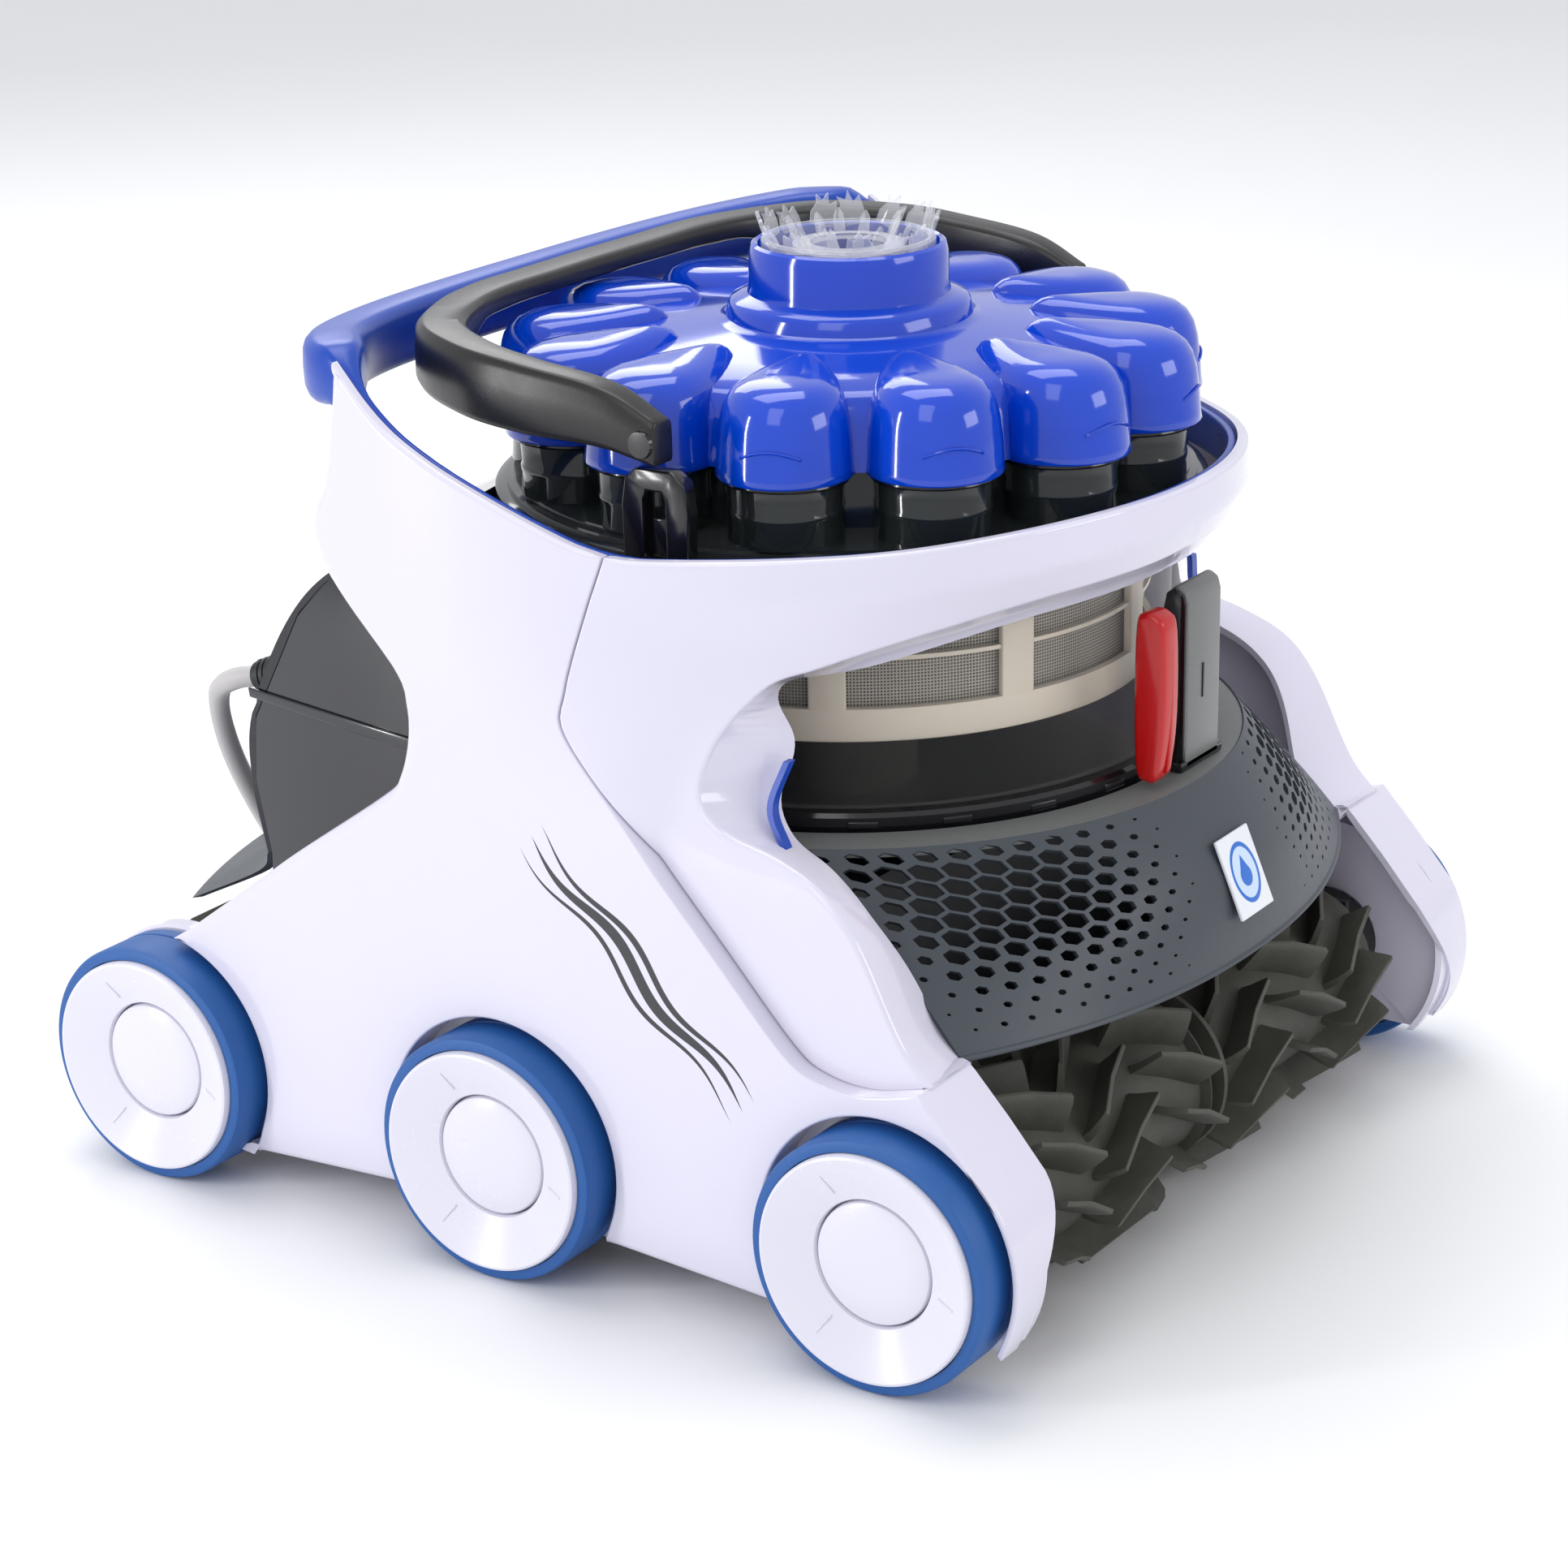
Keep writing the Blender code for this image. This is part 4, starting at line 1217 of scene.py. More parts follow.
@dataclass
class FloatingCord:
    """Cable of the machine: its run from the rear cover, and the coil of the rest."""

    diameter: float = 8 * MM
    centre: Pair = (258.0, 268.0)
    mean_r: float = 72.0
    columns: int = 7
    layers: int = 5
    left_off: int = 3
    first_low: float = 4.3
    turns_points: int = 20
    route: tuple[Point, ...] = (
        (-88.5, 164.5, 160), (-90, 173.5, 158), (-84.5, 187, 150), (-74, 197, 134), (-61, 203.3, 112),
        (-45.6, 205.5, 86), (-27.6, 206, 58), (-7.3, 206.5, 32), (15.3, 208.9, 13), (42.4, 211, 5.2),
        (72, 211.5, 4.2), (102, 216, 4.2), (130, 228, 4.2), (152, 247, 4.3))

    def coil(self) -> list[Vector]:
        """Wind the coil: columns from the outside in and back, layer on layer.

        Returns:
            Points in millimetres.
        """
        pitch = self.diameter / MM
        radii = [self.mean_r + pitch * (self.columns - 1) / 2 - pitch * c for c in range(self.columns)]
        laps = [(radii[c if layer % 2 == 0 else -1 - c], layer)
                for layer in range(self.layers) for c in range(self.columns)]
        laps = laps[:len(laps) - self.left_off]
        start = math.pi
        out = []
        for lap, (radius, layer) in enumerate(laps):
            after = laps[min(lap + 1, len(laps) - 1)]
            for k in range(self.turns_points):
                share = k / self.turns_points
                step = ease((share - 0.7) / 0.3)
                r = radius + (after[0] - radius) * step
                z = self.first_low + pitch * (layer + (after[1] - layer) * step)
                a = start - math.tau * share
                out.append(Vector((self.centre[0] + r * math.cos(a), self.centre[1] + r * math.sin(a), z)))
        return out

    def line(self) -> list[Vector]:
        """Lead the run into the coil.

        Returns:
            Points in metres.
        """
        run = catmull(self.route, 4)
        coil = self.coil()
        join = catmull([run[-2], run[-1], coil[0] + Vector((-1.5, -12, 0)), coil[0]], 3)[3:-1]
        return [p * MM for p in run[:-1] + join + coil]

    def build(self) -> None:
        line = self.line()
        length = sum((b - a).length for a, b in zip(line, line[1:]))
        curve = bpy.data.curves.new("floating_cable", "CURVE")
        curve.dimensions = "3D"
        curve.bevel_depth = self.diameter / 2
        curve.bevel_resolution = 2
        curve.use_fill_caps = True
        spline = curve.splines.new("POLY")
        spline.points.add(len(line) - 1)
        spline.points.foreach_set("co", [c for p in line for c in (*p, 1)])
        curve.materials.append(CABLE.material())
        cable = Shop.stand("floating_cable", curve)
        Shop.publish(cable, Body.MACHINE, "cable", "cord", "cord_coil")
        dress("cord_plug", BLACK)
        gland = self.gland()
        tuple(line[0])
        LOG.info("cable is %.2f m long", length)

    def gland(self) -> Piece:
        """Make the tapered, ribbed strain relief at the rear cover.

        Returns:
            The strain relief.
        """
        profile = [(0, 0), (9.4, 0), (9.4, 1.6), (8.4, 2.4)]
        for k in range(6):
            at, r = 3.2 + 2.5 * k, 8.2 - 0.42 * k
            profile += [(r, at), (r, at + 1.3), (r - 0.9, at + 1.6), (r - 0.9, at + 2.3)]
        profile += [(5.2, 19.0), (4.6, 19.6), (0, 19.6)]
        gland = Shop.turned("cable_strain_relief", profile, SHADE_DARK_GREY, segments=32)
        aim = (Vector(self.route[1]) - Vector(self.route[0])).normalized()
        start = (Vector(self.route[0]) - aim * 19.4) * MM
        gland.data.transform(Matrix.Translation(start) @ aim.to_track_quat("Z", "Y").to_matrix().to_4x4())
        return Shop.publish(gland, Body.MACHINE, "grey_satin", "cord_gland")


def dress(node: str, finish: Finish) -> None:
    """Give a carried node a worked material in place of its plain one.

    Args:
        node: the node's name.
        finish: its finish.
    """
    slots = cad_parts[node].data.materials
    slots.clear()
    slots.append(finish.material())


# --- side body

@dataclass
class SidePanel:
    """White side moulding with its three wheel wells."""

    side: Side
    seam: float = 0.4
    free_r: float = 3.6
    nose_r: float = 1.2
    parting: tuple[Pair, ...] = ((-42, 251), (-36, 232), (-30, 207), (-31, 192), (-59, 162), (-86, 133),
                                 (-113, 104), (-125, 97), (-142, 95.5), (-163, 100.5))
    nose: tuple[Pair, ...] = ((-163, 100.5), (-177.5, 85), (-190.4, 70))
    shoulder: tuple[Pair, ...] = ((138, 92), (104, 117), (84, 132), (44, 160), (37, 168), (33, 181),
                                  (33, 193), (38, 205), (68, 235), (73, 249), (66, 262), (61, 284),
                                  (58.5, 300))
    fender_r: float = 48.8
    fender_deep: float = 31.0
    fender_thin: float = 10.0
    well_depth_x: float = 151.0

    def outline(self) -> tuple[list[Vector], list[str]]:
        """Closed outline in (y, z), with a word for the edge each point is on.

        Returns:
            Points, and the word of each.
        """
        def cut(low: float) -> float:
            """Angle below the axle at which a well reaches a height."""
            return math.degrees(math.asin((WHEEL_Z - low) / WELL_R))
        runs: list[tuple[str, list[Vector]]] = [
            ("parting", resample(catmull([(y + self.seam, z) for y, z in self.parting], 6), 3)),
            ("free", resample(self.nose, 3)),
            ("fender", arc((-150, WHEEL_Z), self.fender_r, 146.5, 212)),
            ("well", arc((-150, WHEEL_Z), WELL_R, 211, -cut(14))),
            ("low", resample([(-114, 14), (-103, 14), (-45, 18), (-39.2, 18)], 3)),
            ("well", arc((0, WHEEL_Z), WELL_R, 180 + cut(18), -cut(18))),
            ("low", resample([(39.2, 18), (45, 18), (117, 13.4)], 3)),
            ("well", arc((150, WHEEL_Z), WELL_R, 180 + cut(13.4), 99.2)),
            ("free", resample(catmull(self.shoulder, 5), 3)),
            ("rim", [Vector((y, rim_height(y))) for y in range(58, -40, -3)]),
        ]
        points, words = [], []
        for word, run in runs:
            for p in run:
                if not points or (p - points[-1]).length > 0.7:
                    points.append(Vector(p[:2]))
                    words.append(word)
        if (points[0] - points[-1]).length < 0.7:
            points.pop()
            words.pop()
        return points, words

    def build(self) -> None:
        """Make the panel, its wells and its fenders."""
        points, words = self.outline()
        sign = self.side.value

        def surface(y: float, z: float, depth: float) -> Vector:
            """Point of the panel, drawn in a little along its lower edge."""
            low = ease((26 - z) / 12)
            return Vector((side_x(y, z) - depth - 2.2 * low, y, z))

        def edge(i: int, p: Vector) -> Vector:
            """How far the wall reaches in.

            Args:
                i: the outline point's number.
                p: the point.

            Returns:
                The reach as a vector.
            """
            thin = ease((p.y - 212) / 12)
            back = (side_x(p.x, p.y) - INNER_X) * (1 - thin) + RIM_WALL * thin
            if words[i] == "well":
                back = SIDE_X - self.well_depth_x
            if words[i] == "fender":
                back = self.fender_deep - (self.fender_deep - self.fender_thin) * ease((72 - p.y) / 48)
            return Vector((-back, 0, 0))

        def radius(i: int, p: Vector) -> float:
            """Rounding of the edge at an outline point."""
            if words[i] == "free" and p.x < 0:
                return self.nose_r
            return {"parting": 0.55, "well": 0.85, "low": 2.6, "rim": 1.5, "fender": 0.85}.get(words[i],
                                                                                               self.free_r)
        white = PanelFinish(f"white_panel_{self.side.label}", WHITE.colour, WHITE.rough, WHITE.haze,
                            WHITE.drift, coat=WHITE.coat, relief=WHITE.relief)
        label = self.side.label
        shell = Skin(points, surface, edge, radius).build("panel_shell", white, sign)
        parts = [shell]
        for row in Row:
            lip = 44.0 if row is Row.REAR else WELL_R + 1
            profile = [(19, 149), (19, 151.5), (lip - 1, 151.5), (lip, 150.5), (lip, 145), (lip - 2, 144),
                       (lip - 2, 149)]
            well = Shop.turned("well", [(r, x * sign) for r, x in profile], white, (row.value, WHEEL_Z),
                               True, 72)
            self.trim(well)
            parts.append(well)
        Shop.publish(Shop.join(f"side_moulding_{label}", parts), Body.MACHINE, "white_gloss",
                     f"side_panel_{label}")

    @staticmethod
    def trim(obj: Piece, floor: float = 13.4) -> None:
        """Cut a turned well off above the floor and close the cut.

        Args:
            obj: the well.
            floor: height of the cut in millimetres.
        """
        work = bmesh.new()
        work.from_mesh(obj.data)
        cut = bmesh.ops.bisect_plane(work, geom=work.verts[:] + work.edges[:] + work.faces[:],
                                     plane_co=(0, 0, floor * MM), plane_no=(0, 0, -1), clear_outer=True)
        rims = [e for e in cut["geom_cut"] if isinstance(e, bmesh.types.BMEdge)]
        bmesh.ops.holes_fill(work, edges=rims, sides=0)
        work.to_mesh(obj.data)
        work.free()


@dataclass
class FrontFrame:
    """White arch round the front: both legs and the bar between them, as one shell."""

    seam: float = 0.4
    crease: float = 13.0
    strip: float = 7.0
    soften: int = 14
    leg_outer: tuple[Pair, ...] = ((-163, 101), (-156, 108), (-150, 117), (-137, 142), (-124, 156),
                                   (-106, 164), (-86, 169), (-77, 178), (-79, 192), (-86, 204))
    leg_inner: tuple[Pair, ...] = ((-160, 98), (-153, 103), (-146, 110), (-138, 130), (-128, 146),
                                   (-116, 157), (-102, 163), (-95, 174), (-97, 188), (-102, 199))

    def __post_init__(self) -> None:
        """Tabulate the arc length round the front of the loop."""
        turns = np.linspace(0, math.asin((LOOP_MID_Y + 20) / LOOP_FRONT) - math.pi / 2, 400)
        xs = LOOP_HALF_W * np.sin(-turns)
        ys = LOOP_MID_Y - LOOP_FRONT * np.cos(turns)
        self.s = np.concatenate([[0], np.cumsum(np.hypot(np.diff(xs), np.diff(ys)))])
        self.x, self.y = xs, ys

    def s_of(self, y: float) -> float:
        """Arc length at which the loop reaches a depth."""
        return float(np.interp(y, self.y, self.s))

    def spot(self, s: float) -> Pair:
        """Plan position of the rim at a signed arc length."""
        return math.copysign(float(np.interp(abs(s), self.s, self.x)),
                             s), float(np.interp(abs(s), self.s, self.y))

    def surface(self, s: float, z: float, depth: float) -> Vector:
        """Point of the shell.

        Args:
            s: arc length from the middle, negative on the left.
            z: height.
            depth: distance below the skin.

        Returns:
            The point.
        """
        x0, y0 = self.spot(s)
        share = lean(y0, z)
        fade = max(ease((y0 + 158) / 70), ease((206 - z) / 30))
        half = SIDE_X * (1 - share) + loop_half_width(max(y0, -160)) * share
        x = max(abs(x0) + (half - abs(x0)) * fade, abs(x0))
        out = Vector((abs(x0) / LOOP_HALF_W ** 2, (y0 - LOOP_MID_Y) / LOOP_FRONT ** 2)).normalized()
        top = rim_height(y0) if y0 > -170 else 257.0
        band = ease((-y0 - 40) / 60)
        under = max(top - self.crease - z, 0) * 0.5 * band * (1 - fade * 0.5)
        sink = depth + min(under, 7)
        upright = fade * (1 - share)
        out = (out * (1 - upright) + Vector((1, 0)) * upright).normalized()
        return Vector((math.copysign(1, s if s else 1) * (x - out.x * sink), y0 - out.y * sink, z))

    def outline(self) -> tuple[list[Vector], list[str], list[Vector]]:
        """Closed outline in (arc length, height) from one parting to the other.

        Returns:
            Points, the word of each, and the inner edge's point for each.
        """
        parting = [(y - self.seam, z) for y, z in SidePanel.parting]
        low = []
        for y in np.linspace(-170, -92, 30):
            s = self.s_of(float(y)) if y > -170 else 0.0
            low.append(Vector((s, along(BAR_LOW, float(y)) + self.strip)))
        leg_out = [Vector((self.s_of(y), z)) for y, z in catmull(self.leg_outer, 5)][::-1]
        leg_in = [Vector((self.s_of(y), z)) for y, z in catmull(self.leg_inner, 5)][::-1]
        bar = resample(catmull(low[::4] + [Vector((leg_out[0].x, leg_out[0].y))], 5), 3)
        leg = resample(leg_out, 3)
        inside = resample(leg_in, 3)
        seam = [Vector((self.s_of(y), z)) for y, z in resample(catmull(parting, 6), 3)][::-1]
        top = [Vector((s, self.top(s))) for s in np.arange(self.s_of(-42.4), 0, -3.0)]
        points, words, deep = [], [], []
        for word, run in (("bar", bar), ("leg", leg), ("parting", seam), ("rim", top)):
            for k, p in enumerate(run):
                if points and (p - points[-1]).length < 0.7:
                    continue
                points.append(p)
                words.append(word)
                share = k / max(len(run) - 1, 1)
                deep.append(inside[min(int(round(share * (len(inside) - 1))), len(inside) - 1)]
                            if word == "leg" else p)
        left = [(Vector((-p.x, p.y)), w, Vector((-d.x, d.y))) for p, w, d in zip(points, words, deep)][::-1]
        whole = list(zip(points, words, deep)) + [row for row in left if abs(row[0].x) > 1.5]
        return [w[0] for w in whole], [w[1] for w in whole], [w[2] for w in whole]

    def top(self, s: float) -> float:
        """Height of the rim at an arc length."""
        return rim_height(self.spot(s)[1])

    def build(self) -> None:
        """Make the arch."""
        points, words, deep = self.outline()

        def edge(i: int, p: Vector) -> Vector:
            """How far the wall reaches in.

            Args:
                i: the outline point's number.
                p: the point.

            Returns:
                The reach as a vector.
            """
            start = self.surface(p.x, p.y, 0)
            if words[i] == "rim":
                return self.surface(p.x, p.y, 3.8) - start
            if words[i] == "bar":
                y0 = self.spot(p.x)[1]
                wide = ease((y0 + 120) / 24)
                inner = self.surface(p.x, p.y, 6.5 + 9 * wide)
                inner.z -= self.strip * (1 - 0.4 * wide)
                return inner - start
            if words[i] == "leg":
                target = self.surface(deep[i].x, deep[i].y, 0)
                target.x = math.copysign(abs(target.x) - 19 - 11 * ease((150 - target.z) / 40), p.x)
                return target - start
            thin = ease((p.y - 212) / 12)
            back = (abs(start.x) - INNER_X) * (1 - thin) + RIM_WALL * thin
            return Vector((-math.copysign(back, p.x), 0, 0))

        walls = [edge(i, p) for i, p in enumerate(points)]
        for _ in range(self.soften):
            walls = [(walls[i - 1] + walls[i] * 2 + walls[(i + 1) % len(walls)]) / 4
                     if words[i] in {"bar", "leg"} and words[i - 1] in {"bar", "leg"}
                     and words[(i + 1) % len(walls)] in {"bar",
                                                         "leg"} else walls[i] for i in range(len(walls))]

        def radius(i: int, p: Vector) -> float:
            """Rounding of the edge at an outline point."""
            return {"parting": 0.55, "rim": 1.6, "bar": 1.4}.get(words[i], 2.2)
        extra = [Vector((s, self.top(s) - self.crease + d)) for s in np.arange(-170, 171, 5.0)
                 for d in (-2.5, 0.0, 2.5)]
        arch = Skin(points, self.surface, lambda i, p: walls[i], radius, wall=3.0, spacing=5.5, extra=extra)
        parts = [arch.build("arch", WHITE)] + [self.strip_of_blue(side) for side in Side]
        Shop.publish(Shop.join("front_arch", parts), Body.MACHINE, "white_gloss", "front_frame")

    def strip_of_blue(self, side: Side) -> Piece:
        """Blue edging down the inner edge of one window notch.

        Args:
            side: the side it is on.

        Returns:
            The edging.
        """
        rings = []
        for y, z in catmull(self.leg_inner[6:9], 8):
            x = (side_x(y, z) - 19.4) * side.value
            rings.append([(x - dx * side.value, y + dy, z) for dx, dy in ((-1.4, 1.2), (2.2, 1.2),
                                                                          (2.2, -1.0), (-1.4, -1.0))])
        return Shop.loft("notch_edging", rings, HANDLE_BLUE, angle=50)


@dataclass
class CarryLoop:
    """Blue liner inside the rim that widens into the rear carrying handle."""

    steps: int = 168
    liner: Pair = (3.4, 15.0)
    handle: Pair = (19.0, 22.0)

    def ring(self, angle: float) -> list[Point]:
        """Cross-section of the loop at an angle in plan.

        Args:
            angle: the angle in radians.

        Returns:
            Points of the section.
        """
        def plan(inset: float) -> Pair:
            """Place in plan.

            Args:
                inset: distance drawn in from the rim.

            Returns:
                The place.
            """
            c, s = math.cos(angle), math.sin(angle)
            if s >= 0:
                return ((LOOP_HALF_W - inset) * math.copysign(abs(c) ** (2 / 3), c),
                        LOOP_MID_Y + (LOOP_REAR - inset) * s ** (2 / 3))
            return (LOOP_HALF_W - inset) * c, LOOP_MID_Y + (LOOP_FRONT - inset) * s
        y0 = plan(6)[1]
        grip = ease((y0 - 45) / 30)
        start = (1 - grip) * 4.1 + grip * 0.3
        wide = (1 - grip) * self.liner[0] + grip * self.handle[0]
        tall = (1 - grip) * self.liner[1] + grip * self.handle[1]
        top = rim_height(min(y0, 64)) - (1 - grip) * 0.4 - grip * 4 * max(0, y0 - 80) / 30
        out = []
        for k in range(20):
            a = math.tau * k / 20
            c, s = math.cos(a), math.sin(a)
            power = 0.55
            u = 0.5 + 0.5 * math.copysign(abs(c) ** power, c)
            v = 0.5 + 0.5 * math.copysign(abs(s) ** power, s)
            x, y = plan(start + wide * u)
            out.append((x, y, top - tall * (1 - v)))
        return out

    def build(self) -> None:
        """Make the loop."""
        rings = []
        for k in range(self.steps):
            a = math.tau * k / self.steps
            power = 1.5 if math.sin(a) > 0 else 1.0
            c, s = math.cos(a), math.sin(a)
            if s > 0:
                a = math.atan2(abs(s) ** power, math.copysign(abs(c) ** power, c))
            rings.append(self.ring(a))
        loop = Shop.loft("carrying_loop", rings, HANDLE_BLUE, closed=True, angle=50)
        Shop.publish(loop, Body.MACHINE, "blue_gloss", "carry_frame")


@dataclass
class RearCover:
    """Dark bulging cover behind the canister, with a lip over the rear brush."""

    levels: tuple[Point, ...] = ((236, 84, 56), (222, 112, 88), (200, 136, 110), (165, 151, 128),
                                 (140, 156, 130), (114, 152, 125), (106, 160, 130), (89, 192, 163))
    half_w: float = 132.5
    columns: int = 48

    def skin(self, name: str, rows: Sequence[Vector], finish: Finish) -> Piece:
        """Loft one run of (height, middle depth, edge depth) rows, with a groove across.

        Args:
            name: the run's name.
            rows: the rows.
            finish: its finish.

        Returns:
            The lofted object.
        """
        rings = []
        for k in range(self.columns + 1):
            share = 2 * k / self.columns - 1
            out, back = [], []
            for z, middle, edge in rows:
                y = middle - (middle - edge) * abs(share) ** 2.2
                groove = 1.3 * math.exp(-((z - 168) / 1.6) ** 2)
                out.append((self.half_w * share, y - groove, z))
                back.append((self.half_w * share * 0.985, y - 3.4, z + (0.5 if z < 200 else -0.5)))
            rings.append(out + back[::-1])
        return Shop.loft(name, rings, finish, angle=32)

    def build(self) -> None:
        """Make the hood, its lip and the cheeks that close its sides."""
        parts = [self.skin("hood", catmull(self.levels[:6], 8), COVER_GREY),
                 self.skin("lip", catmull(self.levels[5:], 6), GRILLE)]
        for side in Side:
            x0, x1 = 129.4 * side.value, 132.2 * side.value
            edge = [(y - 1.0, z) for z, _, y in self.levels[:6]]
            cheek = edge + [(124, 102), (70, 102), (20, 140), (20, 200), (44, 232)]
            parts.append(Shop.prism("cheek", cheek, x0, x1, COVER_GREY, 0.8))
            ridge = ((128, 171), (128.5, 174.5), (24, 165), (24, 160))
            parts.append(Shop.prism("ridge", ridge, x1, x1 + 1.2 * side.value, COVER_GREY, 0.5))
        cover = Shop.join("rear_cover_skin", parts)
        Shop.publish(cover, Body.MACHINE, "dark_gloss", "rear_cover")


@dataclass
class Grille:
    """Perforated skirt from the canister's ledge down to the brush."""

    top_r: float = 136.0
    ledge_r: float = 121.0
    top_z: float = 154.5
    lip_z: float = 100.0
    half_w: float = 132.5
    spread: float = 68.0
    columns: int = 29
    rows: int = 9
    wall: float = 2.2
    largest: float = 0.86

    def spot(self, share: float, t: float) -> Vector:
        """Point of the slope.

        Args:
            share: place across, from -1 to 1.
            t: place down, from 0 to 1.

        Returns:
            The point.
        """
        a = math.radians(-90 + self.spread * share)
        top = Vector((self.top_r * math.cos(a), CAN_Y / MM + self.top_r * math.sin(a), self.top_z))
        low = Vector((self.half_w * share, -195 + 36 * abs(share) ** 2.2, self.lip_z))
        p = top.lerp(low, t)
        p.y -= 6 * math.sin(math.pi * t)
        p.z += 1.5 * math.sin(math.pi * t)
        return p

    def opening(self, share: float, t: float) -> float:
        """How open a cell is.

        Args:
            share: place across, from -1 to 1.
            t: place down, from 0 to 1.

        Returns:
            0 for a closed cell, and up to largest for the widest hole.
        """
        off = abs(share)
        side = ease((off - 0.10) / 0.44) * (1 - ease((off - 0.84) / 0.14) * 0.6)
        down = ease((t + 0.02) / 0.12) * (1 - ease((t - 0.42) / 0.46) * 0.72) * (t < 0.93)
        size = side * down * self.largest
        return size if size > 0.1 else 0.0

    def cells(self) -> Piece:
        """Mesh of staggered six-sided cells with their openings as a face attribute.

        Returns:
            The object.
        """
        verts: list[Vector] = []
        index: dict[tuple[int, int], int] = {}
        faces, sizes = [], []
        width, height = 2 / self.columns, 1 / self.rows

        def corner(cu: float, ct: float) -> int:
            """Find or make a cell's corner, kept on the sheet.

            Args:
                cu: place across.
                ct: place down.

            Returns:
                Its number.
            """
            u, t = min(max(cu, -1), 1), min(max(ct, 0), 1)
            key = (round(u * 1e5), round(t * 1e5))
            if key not in index:
                index[key] = len(verts)
                verts.append(self.spot(u, t))
            return index[key]
        for row in range(-1, self.rows * 4 // 3 + 2):
            for col in range(self.columns + 1):
                cu = -1 + width * (col + 0.5 * (row % 2))
                ct = height * 0.75 * row + height / 2
                hexagon = [(cu, ct - height / 2), (cu + width / 2, ct - height / 4),
                           (cu + width / 2, ct + height / 4), (cu, ct + height / 2),
                           (cu - width / 2, ct + height / 4), (cu - width / 2, ct - height / 4)]
                ring = []
                for u, t in hexagon:
                    at = corner(u, t)
                    if at not in ring:
                        ring.append(at)
                spread = {(round(verts[i].x, 2), round(verts[i].z, 2)) for i in ring}
                if len(ring) < 3 or len(spread) < 3:
                    continue
                whole = len(ring) == 6 and 0.02 < ct < 0.98 and abs(cu) < 0.985
                faces.append(ring)
                sizes.append(self.opening(cu, ct) if whole else 0.0)
        mesh = bpy.data.meshes.new("front_grille_skin")
        mesh.from_pydata([tuple(v * MM) for v in verts], [], faces)
        layer = mesh.attributes.new("open", "FLOAT", "FACE")
        layer.data.foreach_set("value", sizes)
        obj = Shop.stand("front_grille_skin", mesh)
        return obj

    @staticmethod
    def rule() -> Rule:
        """Rule that opens a hole in every cell by the size the cell asks for.

        Returns:
            The rule, with Cells and Smallest, the smallest opening, as inputs.
        """
        rule = Rule("perforate", Cells="Geometry", Smallest="Float")
        size = rule.attribute("open", "FLOAT")
        asks = rule.add("FunctionNodeCompare", data_type="FLOAT", operation="GREATER_THAN")
        inset = rule.add("GeometryNodeExtrudeMesh", mode="FACES")
        inset.inputs["Offset Scale"].default_value = 0.0
        inset.inputs["Individual"].default_value = True
        shrink = rule.add("GeometryNodeScaleElements", domain="FACE")
        drop = rule.add("GeometryNodeDeleteGeometry", domain="FACE")
        return rule.close(drop.outputs["Geometry"],
                          (size, asks.inputs["A"]),
                          (rule.asks["Smallest"], asks.inputs["B"]),
                          (rule.asks["Cells"], inset.inputs["Mesh"]),
                          (asks.outputs["Result"], inset.inputs["Selection"]),
                          (inset.outputs["Mesh"], shrink.inputs["Geometry"]),
                          (inset.outputs["Top"], shrink.inputs["Selection"]),
                          (size, shrink.inputs["Scale"]),
                          (shrink.outputs["Geometry"], drop.inputs["Geometry"]),
                          (inset.outputs["Top"], drop.inputs["Selection"]))

    def build(self) -> None:
        """Make the skirt, its thickness, its rim and the ledge behind it."""
        skirt = self.cells()
        self.rule().run(skirt, GRILLE, 60, Smallest=0.01)
        skirt.data.attributes.remove(skirt.data.attributes["open"])
        work = bmesh.new()
        work.from_mesh(skirt.data)
        bmesh.ops.remove_doubles(work, verts=work.verts, dist=0.00001)
        bmesh.ops.recalc_face_normals(work, faces=work.faces)
        mean = sum((f.normal for f in work.faces), Vector())
        if mean.y > 0:
            bmesh.ops.reverse_faces(work, faces=work.faces)
        work.to_mesh(skirt.data)
        work.free()
        wall = skirt.modifiers.new("wall", "SOLIDIFY")
        wall.thickness, wall.offset = self.wall * MM, -1.0
        Shop.settle(skirt, 42)
        ledge = []
        for k in range(65):
            a = math.radians(-90 + (self.spread + 1) * (k / 32 - 1))
            ring = []
            for r, z in ((self.ledge_r, 154.4), (self.top_r - 1.5, 154.4), (self.top_r + 0.4, 153.6),
                         (self.top_r + 0.2, 151.6), (self.top_r - 2, 151.2), (self.ledge_r, 151.2)):
                ring.append((r * math.cos(a), CAN_Y / MM + r * math.sin(a), z))
            ledge.append(ring)
        rim = [[self.spot(k / 32 - 1, 1.0) + Vector((0, dy, dz)) for dy, dz in
                ((0.5, 0.8), (-0.5, 0.3), (-0.7, -0.8), (0.4, -1.6), (2.2, -1.4),
                 (2.6, 0.2))] for k in range(65)]
        parts = [skirt, Shop.loft("ledge", ledge, LEDGE, angle=50),
                 Shop.loft("lip", rim, GRILLE, angle=60)]
        Shop.publish(Shop.join("front_grille_skirt", parts), Body.MACHINE, "grey_satin", "front_grille")


